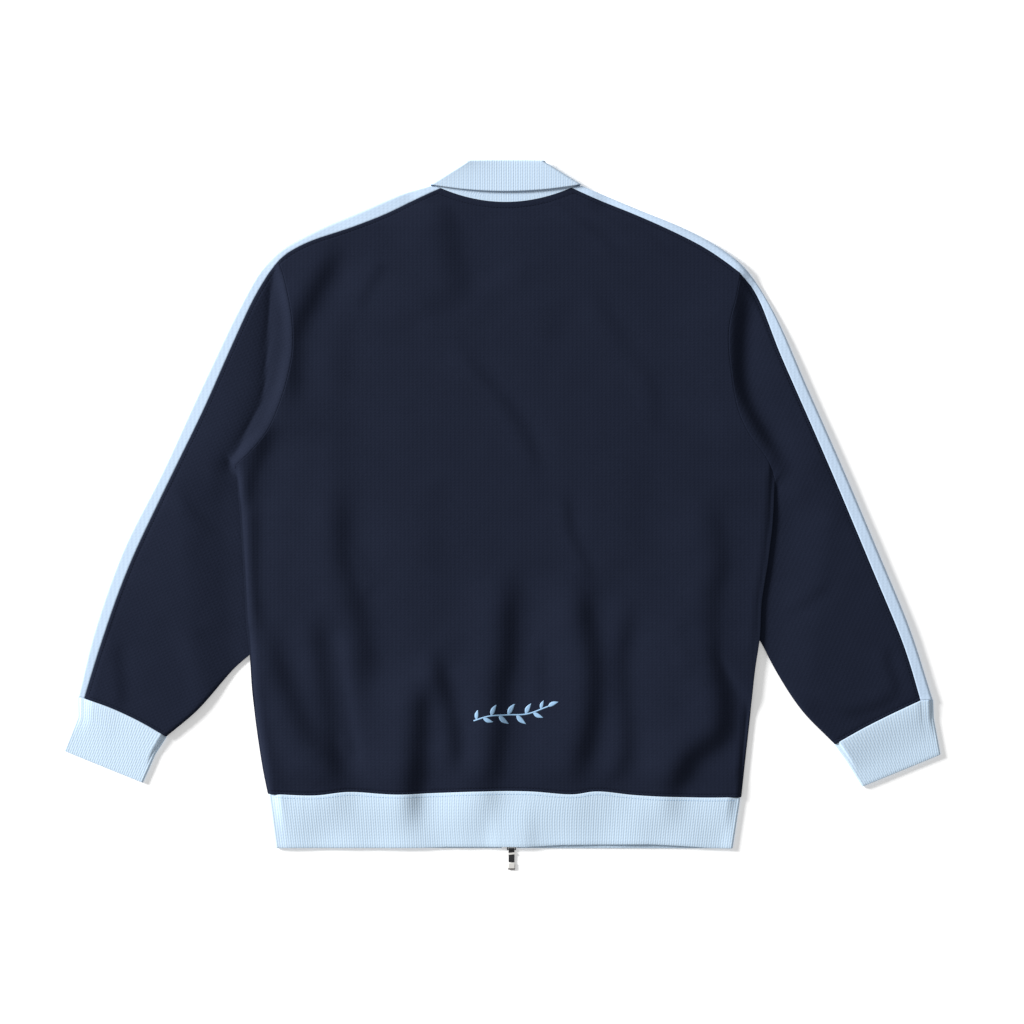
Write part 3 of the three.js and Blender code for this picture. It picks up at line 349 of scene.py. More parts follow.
def square_to(line, towards):
    """Unit vectors square to a line, on the side of a point"""
    out = unit(turned_left(np.gradient(line, axis=0)))
    return out * np.sign(np.sum(out * (np.asarray(towards) - line), axis=1))[:, None]


# Folds, pillows and layers


def creases_at(creases, x, y):
    """How far places stand above or below level cloth. Each crease is a slope from a ridge on its left
    down to a trough on its right, and it fades at its ends."""
    total = np.zeros(np.shape(x))
    for rows, width, spread, drop in creases:
        line = spaced(rows, CREASE_STEPS)
        low = line.min(axis=0) - 3 * spread
        high = line.max(axis=0) + 3 * spread
        near = (x > low[0]) & (x < high[0]) & (y > low[1]) & (y < high[1])
        px, py = x[near], y[near]
        best = np.full(px.shape, np.inf)
        share = np.zeros(px.shape)
        side = np.zeros(px.shape)
        for i in range(CREASE_STEPS):
            start = line[i]
            run = line[i + 1] - start
            t = np.clip(((px - start[0]) * run[0] + (py - start[1]) * run[1]) / (run @ run), 0, 1)
            away = np.hypot(px - start[0] - t * run[0], py - start[1] - t * run[1])
            closer = away < best
            best = np.where(closer, away, best)
            share = np.where(closer, (i + t) / CREASE_STEPS, share)
            turn = run[0] * (py - start[1]) - run[1] * (px - start[0])
            side = np.where(closer, np.sign(turn), side)
        ends = ease(share / CREASE_FADE) * ease((1 - share) / CREASE_FADE)
        slope = np.tanh(1.2 * best / width) - np.tanh(1.2 * best / spread)
        total[near] -= 0.5 * drop * ends * side * slope
    return total


def valley_at(x, y):
    line = spaced(VALLEY, 60)
    away = np.full(np.shape(x), np.inf)
    for place in line:
        away = np.minimum(away, np.hypot(x - place[0], y - place[1]))
    ends = ramp(y - line[-1][1], *VALLEY_END) * ramp(y - line[0][1], *VALLEY_HEAD)
    return VALLEY_DEPTH * ends * np.exp(-np.maximum(away - 0.5, 0) / VALLEY_WIDTH)


def settled(rise, floor=0):
    """A height that softly stays over a floor"""
    over = rise - floor
    return floor + 0.5 * (over + np.sqrt(over * over + 0.6))


def tucked(half, x, y):
    """1 where a sleeve's tucked underarm lies under the body, 0 beyond it"""
    armpit, dive, tuck, emerge = half["armhole"][0], half["dive"], half["tuck"], half["emerge"]
    slope = (tuck[0] - emerge[0]) / (tuck[1] - emerge[1])
    below = emerge[0] + slope * (y - emerge[1])
    limit = np.where(y < emerge[1], below, x_at([dive, tuck, emerge], y))
    inside = half["sign"] * (limit - x)
    return ramp(inside, *TUCK_FROM_EDGE) * ramp(y - armpit[1], *TUCK_FROM_ARMPIT)


def tuck_at(x, y):
    return np.maximum(tucked(LEFT, x, y), tucked(RIGHT, x, y))


def neck_line(x, key):
    share = (x - COLLAR_X) / NECK["a"]
    return NECK["side"] + (NECK[key] - NECK["side"]) * (1 - share**2)


def near_zip(x):
    return ramp(np.abs(x - ZIP_X), *FLAT_BY_ZIP)


def over_zip(x):
    return ramp(np.abs(x - ZIP_X), *FROM_ZIP)


def front_height(x, y):
    inside = np.where(np.abs(x) < NECK_CORNER + 12, 1 - near_zip(x), 0)
    neck = ramp(y - neck_line(x, "front"), *FROM_FRONT_NECK) * inside
    return FIRST_LAYER + TUCK_LIFT * tuck_at(x, y) + (RIB_LOW + RIB_RISE - FIRST_LAYER) * neck


def ripple(x, y):
    """The cloth's slight unevenness"""
    wide = np.sin(x / 31 + 1.3 * np.sin(y / 57)) * np.sin(y / 43 + 0.8 * np.sin(x / 49) + 1)
    small = np.sin(x / 13 + 2 * np.sin(y / 29) + 2) * np.sin(y / 17 + 1.4 * np.sin(x / 23))
    return 0.16 * wide + 0.05 * small


def back_height(x, y):
    neck = ramp(y, *NECK_UP) * ramp(np.abs(x), *NECK_ACROSS)
    zipped = over_zip(x) * (1 - neck)
    inward = np.minimum(x - x_at(LEFT["side"], y), x_at(RIGHT["side"], y) - x)
    side = mix(ramp(inward, *FROM_SIDE), 1, ramp(y, *SIDE_UP))
    foot = mix(0.6, 1, ramp(y, *HEM_UP))
    full = np.minimum(np.minimum(side, foot), ramp(y, *SHOULDER_UP))
    inward = np.minimum(x - x_at(LEFT["armhole"], y), x_at(RIGHT["armhole"], y) - x)
    armhole = ramp(inward, *FROM_ARMHOLE) * ramp(y, *ARMHOLE_FOOT) * ramp(y, *ARMHOLE_TOP)
    pillow = EDGE_PILLOW + PILLOW * full + ARMHOLE_RISE * armhole
    creases = ease(full / 0.6 + 0.15) * creases_at(BACK_CREASES, x, y)
    lift = TUCK_LIFT * tuck_at(x, y) + NECK_LIFT * neck + ZIP_LIFT * zipped
    return FIRST_LAYER + LAYER + settled(pillow + creases + ripple(x, y), lift)


def sleeve_height(half, x, y):
    armpit = half["armhole"][0][1]
    outside = half["sign"] * (x - x_at(half["side"], y))
    covered = ramp(outside, *COVER_FROM_SIDE) * ramp(y - armpit, *COVER_FROM_ARMPIT)
    creases = creases_at(SLEEVE_CREASES, x, y) + ripple(x, y)
    if half is LEFT:
        creases -= valley_at(x, y)
    beside = mix(outside / 30, 1, ramp(y - armpit, *SLEEVE_FROM_ARMPIT))
    inward = np.minimum(beside, half["sign"] * (x_at(half["outline"], y) - x) / 18)
    rise = settled(SLEEVE_EDGE + SLEEVE_PILLOW * ease(inward) + creases)
    return FIRST_LAYER + LAYER + (1 - covered) * rise


# Grids and meshes


def shares(length, step, start, end):
    """Shares of a length, close together at its two ends"""
    first = np.array(start) / length
    last = 1 - np.array(end)[::-1] / length
    count = max(2, round((last[0] - first[-1]) * length / step))
    return np.concatenate([first, np.linspace(first[-1], last[0], count + 1)[1:-1], last])


def fill(bottom, top, left, right, u, v):
    """Fills the space between four edges"""
    low, high = at(bottom, u), at(top, u)
    start, end = at(left, v)[:, None], at(right, v)[:, None]
    u, v = u[None, :, None], v[:, None, None]
    corners = mix(mix(bottom[0], bottom[-1], u), mix(top[0], top[-1], u), v)
    return mix(low, high, v) + mix(start, end, u) - corners


def from_edge(grid, edge):
    """How far a grid's points are from its first or last row or column"""
    line = {"bottom": grid[:1], "top": grid[-1:], "left": grid[:, :1], "right": grid[:, -1:]}[edge]
    return np.linalg.norm(grid[..., :2] - line[..., :2], axis=-1)


def sink(away):
    """How far cloth sinks into a seam"""
    return DITCH * (1 - np.sqrt(1 - (1 - np.clip(away / DITCH_WIDTH, 0, 1)) ** 2))


def groove(away, offset):
    return GROOVE * np.exp(-(((away - offset) / 0.8) ** 2))


def roll(away):
    return np.sqrt(1 - (1 - np.clip(away / FOLD_RADIUS, 0, 1)) ** 2)


def normals(grid):
    square = np.cross(np.gradient(grid, axis=1), np.gradient(grid, axis=0))
    return square / np.maximum(np.linalg.norm(square, axis=-1, keepdims=True), 1e-9)


def quads(index):
    corners = [index[:-1, :-1], index[:-1, 1:], index[1:, 1:], index[1:, :-1]]
    return np.stack(corners, axis=-1).reshape(-1, 4)


def make(name, points, faces, material, sharp=40):
    """A mesh from points in garment millimetres, with its faces outwards"""
    points = np.asarray(points, float).reshape(-1, 3)
    first, second, third = points[faces[:, 0]], points[faces[:, 1]], points[faces[:, 2]]
    volume = np.sum(first * np.cross(second, third))
    if faces.shape[1] == 4:
        volume += np.sum(first * np.cross(third, points[faces[:, 3]]))
    if volume < 0:
        faces = faces[:, ::-1]
    mesh = bpy.data.meshes.new(name)
    mesh.vertices.add(len(points))
    mesh.vertices.foreach_set("co", ((points + MIDDLE) / 1000).ravel())
    mesh.loops.add(faces.size)
    mesh.loops.foreach_set("vertex_index", faces.ravel())
    mesh.polygons.add(len(faces))
    mesh.polygons.foreach_set("loop_start", np.arange(0, faces.size, faces.shape[1]))
    mesh.update(calc_edges=True)
    mesh.validate()
    mesh.materials.append(material)
    mesh.shade_smooth()
    mesh.set_sharp_from_angle(angle=np.radians(sharp))
    piece = bpy.data.objects.new(name, mesh)
    bpy.context.collection.objects.link(piece)
    return piece


def shell(name, outer, inner, material, closed=False, ribs=None):
    """A wall between two grids. A closed one's last column meets its first. Ribs say how far up a
    knit rib each place is, for the shade painted into its furrows."""
    if closed:
        outer, inner = outer[:, :-1], inner[:, :-1]
    rows, columns = outer.shape[:2]
    index = np.arange(rows * columns).reshape(rows, columns)
    if closed:
        index = np.hstack([index, index[:, :1]])
    below = index + rows * columns
    faces = [quads(index), quads(below)[:, ::-1]]
    faces.append(quads(np.stack([below[0], index[0]])))
    faces.append(quads(np.stack([index[-1], below[-1]])))
    if not closed:
        faces.append(quads(np.stack([index[:, 0], below[:, 0]])))
        faces.append(quads(np.stack([below[:, -1], index[:, -1]])))
    points = np.concatenate([outer.reshape(-1, 3), inner.reshape(-1, 3)])
    piece = make(name, points, np.concatenate(faces), material, 60)
    if ribs is not None:
        values = np.broadcast_to(ribs, (rows, ribs.shape[-1]))[:, :columns].ravel()
        attribute = piece.data.attributes.new("rib", "FLOAT", "POINT")
        attribute.data.foreach_set("value", np.concatenate([values, values]))
    return piece


def wall(name, middle, material):
    square = normals(middle)
    if np.mean(square[..., 2]) < 0:
        square = -square
    return shell(name, middle + square * CLOTH / 2, middle - square * CLOTH / 2, material)


def pulled_in(grid, edge, distance, reach):
    """Moves a grid's edge inwards, square to the edge, less and less up to a reach"""
    place = {"bottom": 0, "top": -1, "left": 0, "right": -1}[edge]
    inner = {"bottom": 3, "top": -4, "left": 3, "right": -4}[edge]
    lengthwise = edge in ("left", "right")
    here = grid[:, place] if lengthwise else grid[place]
    beyond = grid[:, inner] if lengthwise else grid[inner]
    way = unit(beyond - here)
    way = way[:, None] if lengthwise else way[None]
    share = ease(1 - from_edge(grid, edge) / reach)[..., None]
    return grid + way * share * np.asarray(distance)[..., None]


def folded_in(grid, edge, rolled):
    """Makes room for a seam at a grid's edge, and for a fold where it is rolled"""
    return pulled_in(grid, edge, (EDGE_INSET + ROLL_INSET * rolled)[:, None], FOLD_RADIUS)


# Materials


def nodes_of(name, color, roughness, **sockets):
    material = bpy.data.materials.new(name)
    material.use_nodes = True
    tree = material.node_tree
    shader = tree.nodes["Principled BSDF"]
    shader.inputs["Base Color"].default_value = (*color, 1)
    shader.inputs["Roughness"].default_value = roughness
    for key, value in sockets.items():
        shader.inputs[key.replace("_", " ")].default_value = value
    return material, tree, shader


def node(tree, kind, **settings):
    made = tree.nodes.new(kind)
    for key, value in settings.items():
        if key in made.inputs:
            made.inputs[key].default_value = value
        else:
            setattr(made, key, value)
    return made


def linear(red, green, blue):
    """A colour in light, from a screen's red, green and blue"""
    share = np.array([red, green, blue]) / 255
    return tuple(np.where(share <= 0.04045, share / 12.92, ((share + 0.055) / 1.055) ** 2.4))


def bumped(tree, shader, height, strength):
    raised = node(tree, "ShaderNodeBump", Strength=strength, Distance=0.0002)
    tree.links.new(height, raised.inputs["Height"])
    tree.links.new(raised.outputs["Normal"], shader.inputs["Normal"])


def toned(tree, shader, dark, light, share):
    """Colours a material between two tones"""
    blend = node(tree, "ShaderNodeMix", data_type="RGBA")
    blend.inputs["A"].default_value = (*dark, 1)
    blend.inputs["B"].default_value = (*light, 1)
    tree.links.new(share, blend.inputs["Factor"])
    tree.links.new(blend.outputs["Result"], shader.inputs["Base Color"])


def combined(tree, operation, first, second):
    """Two sockets, or a socket and a number, put through one operation"""
    both = node(tree, "ShaderNodeMath", operation=operation)
    tree.links.new(first, both.inputs[0])
    if isinstance(second, float):
        both.inputs[1].default_value = second
    else:
        tree.links.new(second, both.inputs[1])
    return both.outputs[0]


def knit(name, dark, light, turn, bump, roughness, **sockets):
    """A knit: wales and courses in fine relief, with mottled yarn between two colours"""
    material, tree, shader = nodes_of(name, dark, roughness, **sockets)
    place = node(tree, "ShaderNodeTexCoord")
    turned = node(tree, "ShaderNodeMapping", Rotation=(0, 0, np.radians(turn)))
    tree.links.new(place.outputs["Object"], turned.inputs["Vector"])
    wales = node(tree, "ShaderNodeTexWave", Scale=1000 / WALE / 20, Distortion=0.8)
    wales.inputs["Detail"].default_value = 1
    wales.inputs["Detail Scale"].default_value = 3
    courses = node(tree, "ShaderNodeTexWave", Scale=1000 / WALE / 15, Distortion=1.2)
    courses.bands_direction = "Y"
    fuzz = node(tree, "ShaderNodeTexNoise", Scale=900, Detail=3, Roughness=0.6)
    patches = node(tree, "ShaderNodeTexNoise", Scale=38, Detail=4, Roughness=0.55)
    for texture in (wales, courses, fuzz, patches):
        tree.links.new(turned.outputs["Vector"], texture.inputs["Vector"])
    loops = combined(tree, "MULTIPLY", wales.outputs["Fac"], courses.outputs["Fac"])
    bumped(tree, shader, combined(tree, "ADD", loops, fuzz.outputs["Fac"]), bump)
    fine = combined(tree, "MULTIPLY", fuzz.outputs["Fac"], 0.7)
    wide = combined(tree, "MULTIPLY", patches.outputs["Fac"], 0.2)
    share = combined(tree, "ADD", combined(tree, "ADD", fine, wide), 0.05)
    toned(tree, shader, dark, light, share)
    return material


def shade_furrows(material):
    """Paints shade into the furrows between ribs: darker and bluer, where light has passed from yarn to
    yarn
    """
    tree = material.node_tree
    shader = tree.nodes["Principled BSDF"]
    yarn = shader.inputs["Base Color"].links[0].from_socket
    rib = node(tree, "ShaderNodeAttribute", attribute_name="rib")
    furrow_shade = node(tree, "ShaderNodeMix", data_type="RGBA")
    furrow_shade.inputs["A"].default_value = (*linear(230, 240, 251), 1)
    furrow_shade.inputs["B"].default_value = (1, 1, 1, 1)
    tree.links.new(rib.outputs["Fac"], furrow_shade.inputs["Factor"])
    both = node(tree, "ShaderNodeMix", data_type="RGBA", blend_type="MULTIPLY", Factor=1)
    tree.links.new(yarn, both.inputs["A"])
    tree.links.new(furrow_shade.outputs["Result"], both.inputs["B"])
    tree.links.new(both.outputs["Result"], shader.inputs["Base Color"])


def coarse(name, dark, light, scale, roughness, bump, **sockets):
    """A plain material with uneven tone and a slight relief"""
    material, tree, shader = nodes_of(name, dark, roughness, **sockets)
    place = node(tree, "ShaderNodeTexCoord")
    grain = node(tree, "ShaderNodeTexNoise", Scale=scale, Detail=4, Roughness=0.6)
    tree.links.new(place.outputs["Object"], grain.inputs["Vector"])
    bumped(tree, shader, grain.outputs["Fac"], bump)
    toned(tree, shader, dark, light, grain.outputs["Fac"])
    return material


# Millimetres from one wale of the smooth knit to the next
WALE = 0.7

SHEEN = {"Sheen_Weight": 0.02, "Sheen_Roughness": 0.4, "Specular_IOR_Level": 0.05}
PALE = {"Sheen_Weight": 0.1, "Sheen_Roughness": 0.5, "Specular_IOR_Level": 0.2}
DARK_YARN = (linear(16, 21, 34), linear(35, 41, 59))
DARK_METAL = (linear(14, 15, 17), linear(26, 27, 30))
NAVY = knit("navy_knit", *DARK_YARN, 0, 0.5, 0.8, **SHEEN)
NAVY_LEFT = knit("navy_knit_left_sleeve", *DARK_YARN, -24, 0.5, 0.8, **SHEEN)
NAVY_RIGHT = knit("navy_knit_right_sleeve", *DARK_YARN, 24, 0.5, 0.8, **SHEEN)
SKY = knit("sky_knit", linear(184, 205, 228), linear(198, 218, 240), 0, 0.35, 0.85, **PALE)
RIB = knit("sky_rib", linear(197, 215, 232), linear(210, 228, 241), 0, 0.4, 0.88, **PALE)
# The collar's rib is the hem rib's yarn painted about 6% darker: painted shade over the whole collar
SHADED_COLLAR_RIB = knit("sky_collar_rib_painted_shade", linear(190, 207, 225), linear(203, 220, 234), 0, 0.4, 0.88, **PALE)
shade_furrows(RIB)
shade_furrows(SHADED_COLLAR_RIB)
MATT = {"Specular_IOR_Level": 0.05}
THREAD = coarse("navy_thread", linear(9, 12, 20), linear(16, 20, 32), 1500, 0.8, 0.4, **MATT)
PALE_THREAD = coarse("sky_thread", linear(120, 160, 198), linear(160, 196, 226), 900, 0.5, 0.5)
TAPE = coarse("black_tape", linear(16, 17, 20), linear(30, 31, 35), 1200, 0.7, 0.6)
NAVY_TAPE = coarse("navy_tape", *DARK_YARN, 1200, 0.7, 0.6)
TEETH = coarse("black_teeth", linear(14, 15, 17), linear(28, 29, 32), 500, 0.35, 0.1)
STEEL = coarse("bright_steel", linear(228, 226, 222), linear(246, 244, 240), 700, 0.3, 0.15, Metallic=0.35)
BLACK_METAL = coarse("black_painted_metal", *DARK_METAL, 600, 0.35, 0.15)
BRONZE = coarse("dark_bronze", linear(58, 46, 42), linear(84, 70, 64), 600, 0.35, 0.15, Metallic=0.5)


# Edges that the pieces share, and how many steps each is cut into

SHOULDER_STEPS = 100
STRIPE_STEPS = 190
OUTLINE_STEPS = 2400
SIDE_STEPS = 110
ARMHOLE_STEPS = 70
DIVE_STEPS = 10
TUCK_STEPS = 30
CUFF_STEPS = 40
HEM_STEPS = 320

# A point well up the middle of the body, which tells an edge's inner side
INSIDE = (0, 300)


def stations(half):
    """The stripe's seam on top, the outline that it folds round, and its seam underneath"""
    shoulder = spaced(half["shoulder"], SHOULDER_STEPS)
    top = rounded(joined(shoulder, spaced(half["stripe_seam"], STRIPE_STEPS)), 8)
    outline = spaced(half["outline"], OUTLINE_STEPS)
    nearest = [np.argmin(np.sum((outline - place) ** 2, axis=1)) for place in top]
    nearest[0], nearest[-1] = 0, OUTLINE_STEPS
    outer = at(outline, rounded(np.array(nearest, float)[:, None], 6)[:, 0] / OUTLINE_STEPS)
    below = outer + square_to(outer, INSIDE) * STRIPE_UNDER
    neck_x = half["sign"] * (NECK_CORNER - 2)
    beside = outer + np.array([neck_x, neck_line(neck_x, "front")]) - outer[0]
    share = ease(np.arange(len(outer)) / 50)[:, None]
    return top, outer, mix(beside, below, share)


SEAMS = {half["name"]: stations(half) for half in (LEFT, RIGHT)}


def armhole_line(half, underneath):
    end = SEAMS[half["name"]][2 if underneath else 0][SHOULDER_STEPS]
    return spaced([*half["armhole"][:-1], tuple(end)], ARMHOLE_STEPS)


def side_line(half, underneath):
    return joined(spaced(half["side"], SIDE_STEPS), armhole_line(half, underneath))


def inner_line(half, underneath):
    """The sleeve's edge towards the body, from the shoulder to the cuff"""
    return joined(
        armhole_line(half, underneath)[::-1],
        spaced([half["armhole"][0], half["dive"]], DIVE_STEPS),
        spaced([half["dive"], half["tuck"]], TUCK_STEPS),
        spaced([half["tuck"], half["emerge"]], TUCK_STEPS),
        spaced(half["inner_edge"], STRIPE_STEPS - ARMHOLE_STEPS - DIVE_STEPS - 2 * TUCK_STEPS),
    )


def cuff_edge(half, underneath):
    start = SEAMS[half["name"]][2][-1] if underneath else half["cuff_seam"][0]
    return spaced([start, *half["cuff_seam"][1:]], CUFF_STEPS)


# Panels

# Shares of a length: where the side seam ends and the armhole begins, where a sleeve's edge has come
# out from the armhole seam, where it turns into a fold, and where a stripe leaves the neck and shoulder
BODY_SPLIT = SIDE_STEPS / (SIDE_STEPS + ARMHOLE_STEPS)
SEWN = (8 / 19, 7 / 19)
LOOSE = (13.7 / 19, 14.3 / 19)
FROM_NECK = (0.5 / 29, 3.5 / 29)
FROM_SHOULDER = (9.6 / 29, 10.4 / 29)

# Millimetres from one row of a grid to the next, where it shows and where it is hidden
SHOWN_STEP = 3.2
HIDDEN_STEP = 6


def back_grid():
    shoulders = [SEAMS[name][0][: SHOULDER_STEPS + 1] for name in ("left", "right")]
    x = np.linspace(-NECK_CORNER, NECK_CORNER, 121)
    neck = np.stack([x, neck_line(x, "back")], axis=1)
    top = joined(shoulders[0][::-1], neck, shoulders[1])
    u = shares(545, 3.3, ROLL_STEPS, ROLL_STEPS)
    v = shares(620, 3.3, SEAM_STEPS, SEAM_STEPS)
    grid = fill(spaced(HEM_SEAM, HEM_STEPS), top, side_line(LEFT, False), side_line(RIGHT, False), u, v)
    rolled = (v < BODY_SPLIT).astype(float)
    for edge in ("left", "right"):
        grid = folded_in(grid, edge, rolled)
    z = back_height(grid[..., 0], grid[..., 1])
    below = front_height(grid[..., 0], grid[..., 1])
    for edge, column in (("left", 0), ("right", -1)):
        away = from_edge(grid, edge)
        meet = ((z + below) / 2 + MEET)[:, column : column + 1 or None]
        z = np.where(rolled[:, None] > 0, mix(meet, z, roll(away)), z - sink(away))
    for edge in ("bottom", "top"):
        z -= sink(from_edge(grid, edge))
    shoulder = np.abs(grid[-1, :, 0]) > NECK_CORNER + 1
    offset = np.where(shoulder, STITCHES["shoulder"], STITCHES["neck"])
    z -= groove(from_edge(grid, "bottom"), STITCHES["hem"]) + groove(from_edge(grid, "top"), offset)
    return lifted(grid, z)


def front_grid(half):
    shoulder = SEAMS[half["name"]][2][: SHOULDER_STEPS + 1]
    finish = ZIP_X + half["sign"] * FRONT_EDGE
    x = np.linspace(shoulder[0][0], finish, 81)
    top = joined(shoulder[::-1], np.stack([x, neck_line(x, "front")], axis=1))
    side = side_line(half, True)
    steps = SIDE_STEPS + ARMHOLE_STEPS + 1
    hem_row = np.array([LEFT["hem"][0], RIGHT["hem"][0]], float)
    x = np.linspace(side[0][0], finish, steps)
    bottom = np.stack([x, np.interp(x, hem_row[:, 0], hem_row[:, 1]) + SEAM_GAP], axis=1)
    middle = np.stack([np.full(steps, finish), np.linspace(bottom[-1][1], top[-1][1], steps)], axis=1)
    u = shares(265, HIDDEN_STEP, ROLL_STEPS, SEAM_STEPS[:6])
    v = shares(600, HIDDEN_STEP, SEAM_STEPS[:8], SEAM_STEPS[:8])
    grid = fill(bottom, top, side, middle, u, v)
    rolled = (v < BODY_SPLIT).astype(float)
    grid = folded_in(grid, "left", rolled)
    grid = pulled_in(grid, "top", np.full(len(u), 0.5), 6)
    z = front_height(grid[..., 0], grid[..., 1])
    above = back_height(grid[:, :1, 0], grid[:, :1, 1])
    meet = (z[:, :1] + above) / 2 - MEET
    z = np.where(rolled[:, None] > 0, mix(meet, z, roll(from_edge(grid, "left"))), z)
    return lifted(grid, z)


def sleeve_grid(half, underneath):
    top, _, under = SEAMS[half["name"]]
    outer = (under if underneath else top)[SHOULDER_STEPS + 1 :]
    inner = inner_line(half, underneath)[1:]
    step = HIDDEN_STEP if underneath else SHOWN_STEP
    u = shares(150, step, SEAM_STEPS[:8], ROLL_STEPS)
    v = shares(480, step, SEAM_STEPS[:4], SEAM_STEPS[:9])
    shoulder = np.stack([outer[0], inner[0]])
    grid = fill(shoulder, cuff_edge(half, underneath), outer, inner, u, v)
    loose = ramp(v, *LOOSE)
    grid = folded_in(grid, "right", loose)
    x, y = grid[..., 0], grid[..., 1]
    upper = sleeve_height(half, x, y)
    z = np.full(x.shape, FIRST_LAYER) if underneath else upper.copy()
    away = from_edge(grid, "right")
    meet = (upper[:, -1:] + FIRST_LAYER) / 2 + (-MEET if underneath else MEET)
    z = mix(z, mix(meet, z, roll(away)), loose[:, None])
    edge_x, edge_y = x[:, -1:], y[:, -1:]
    if underneath:
        rise = front_height(edge_x, edge_y) - FIRST_LAYER
    else:
        rise = back_height(edge_x, edge_y) - upper[:, -1:]
    sewn = np.clip((v - SEWN[0]) / (SEWN[1] - SEWN[0]), 0, 1)[:, None]
    z += rise * sewn * np.exp(-((away / ARMHOLE_REACH) ** (2 if half is LEFT else 1)))
    if not underneath:
        z -= sink(away) * sewn
        for edge, stitches in (("left", "stripe"), ("top", "cuff")):
            away = from_edge(grid, edge)
            z -= sink(away) + groove(away, STITCHES[stitches])
    return lifted(grid, z)


def stripe_grid(half, sleeve):
    """The stripe's section at each station: flat on top, round the fold, flat underneath"""
    top, outer, under = SEAMS[half["name"]]
    v = shares(700, SHOWN_STEP, SEAM_STEPS[:6], SEAM_STEPS[:6])
    here, edge, below = at(top, v), at(outer, v), at(under, v)
    column = sleeve[:, 3]
    nearest = [np.argmin(np.sum((column[:, :2] - place) ** 2, axis=1)) for place in here]
    body = back_height(here[:, 0], here[:, 1])
    high = mix(body, column[nearest, 2], ramp(v, *FROM_SHOULDER))
    low = mix(RIB_LOW + RIB_RISE, FIRST_LAYER, ramp(v, *FROM_NECK))
    radius = (high - low) / 2
    way = edge - here
    width = np.linalg.norm(way, axis=1)
    way /= width[:, None]
    flat = np.maximum(width - CLOTH / 2 - radius, 0.5)
    near = np.array([0, 0.3, 0.8, 1.4, 2.2, 3.2])
    far = np.linspace(0.3, 1, 7)[1:]
    angle = np.radians(np.linspace(75, -90, 12))
    rows = []
    for k in range(len(v)):
        run = np.sort(np.minimum(np.append(near, far * flat[k]), flat[k]))
        bend = flat[k] + radius[k] * np.cos(angle)
        bend_z = (high[k] + low[k]) / 2 + radius[k] * np.sin(angle)
        places = here[k] + way[k] * np.append(run, bend)[:, None]
        back = mix(places[-1], below[k], np.linspace(0, 1, 5)[1:, None])
        height = np.concatenate([high[k] - sink(run), bend_z, np.full(4, low[k])])
        rows.append(np.column_stack([np.concatenate([places, back]), height]))
    return np.array(rows)


def add_cloth():
    pieces = {"back": wall("back_panel", back_grid(), NAVY)}
    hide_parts("back")
    for half, material in ((LEFT, NAVY_LEFT), (RIGHT, NAVY_RIGHT)):
        side = half["name"]
        sleeve = sleeve_grid(half, False)
        made = {
            "front": wall("front_panel_" + side, front_grid(half), NAVY),
            "sleeve_back": wall("sleeve_top_" + side, sleeve, material),
            "sleeve_front": wall("sleeve_bottom_" + side, sleeve_grid(half, True), material),
            "stripe": wall("stripe_band_" + side, stripe_grid(half, sleeve), SKY),
        }
        for key, piece in made.items():
            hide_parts(key + "_" + side)
            pieces[key + "_" + side] = piece
    return pieces


# Knit rib, lying as a flattened ring


def ring(level, turn, out, drop=0.0):
    """Places on flattened rings: a row for each level, a column for each turn. A turn runs from one
    end (-3), round a side (-2 to -1), over the upper half (-1 to 1) and round the other side to the
    other end (3)."""
    left, right = level["left"][:, None], level["right"][:, None]
    low, high = level["low"][:, None], level["high"][:, None]
    radius = (high - low) / 2
    chord = right - left
    length = np.linalg.norm(chord, axis=-1)
    reach = length / 2
    way, amount = np.sign(turn)[None], np.abs(turn)[None]
    angle = np.pi * np.clip(amount - 1, 0, 1)
    straight = reach - radius
    spread = np.where(amount <= 1, straight * amount, straight + radius * np.sin(angle))
    end = np.where(way < 0, -level["ends"][0], level["ends"][1])
    distance = np.where(amount > 2, mix(straight, end, amount - 2), spread)
    share = np.minimum(1, distance / reach)
    reached = way * (distance + out * np.sin(angle))
    place = (left + right) / 2 + chord / length[..., None] * reached[..., None]
    x = place[..., 0]
    y = place[..., 1] + level["bow"](x, way * share, amount > 1.5) - drop
    z = (high + low) / 2 + (radius + out) * np.cos(angle) + level["lift"](x, share, amount)
    return np.stack([x, y, z], axis=-1)


def rib_turns(length, below, fine=6, rough=4):
    """Turns with several places to each rib, and the rib that each is on"""
    upper = round(length / RIB_PITCH)
    lower = round(below / RIB_PITCH)
    half = np.concatenate([
        np.linspace(0, 1, upper * fine // 2, endpoint=False),
        np.linspace(1, 2, 14, endpoint=False),
        np.linspace(2, 3, max(2, lower * rough + 1)),
    ])
    ribs = np.interp(half, [0, 1, 2, 3], [0, upper / 2, upper / 2 + 2, upper / 2 + 2 + lower])
    return np.concatenate([-half[:0:-1], half]), np.concatenate([-ribs[:0:-1], ribs])


def ridge(ribs):
    """1 on a rib's back, 0 in the furrow between two"""
    return (0.5 + 0.5 * np.cos(2 * np.pi * ribs)) ** 0.75


def straight_to(seam, left, right):
    """How far the straight line between two ends lies below a seam"""
    ends = np.array([left, right], float)
    return lambda x: np.interp(x, *seam.T) - 0.2 - np.interp(x, *ends.T)


# The last rows at a rib band's edge: what is left of its thickness, and how far the edge has dropped
EDGE_THICK = [0.8, 0.4, 0]
EDGE_DROP = [0.45, 0.68, 0.75]

# Bands laid flat: how wide across, and how deep
CUFF_WIDTH = 93
CUFF_DEPTH = 57
HEM_WIDTH = 486
HEM_DEPTH = 56


def with_edge(share):
    """Adds a rounded edge to a band's rows: shares of its length, its thickness and its drop"""
    thick = np.append(np.ones(len(share)), EDGE_THICK)
    drop = np.append(np.zeros(len(share)), EDGE_DROP)
    return np.append(share, np.ones(len(EDGE_DROP))), thick[:, None], drop[:, None]


def profile(steps, length):
    """A band's rows, from its seam to its edge"""
    seam = np.array([0, 0.4, 0.9, 1.6]) / length
    return with_edge(np.append(seam, np.linspace(3 / length, 1, steps)))


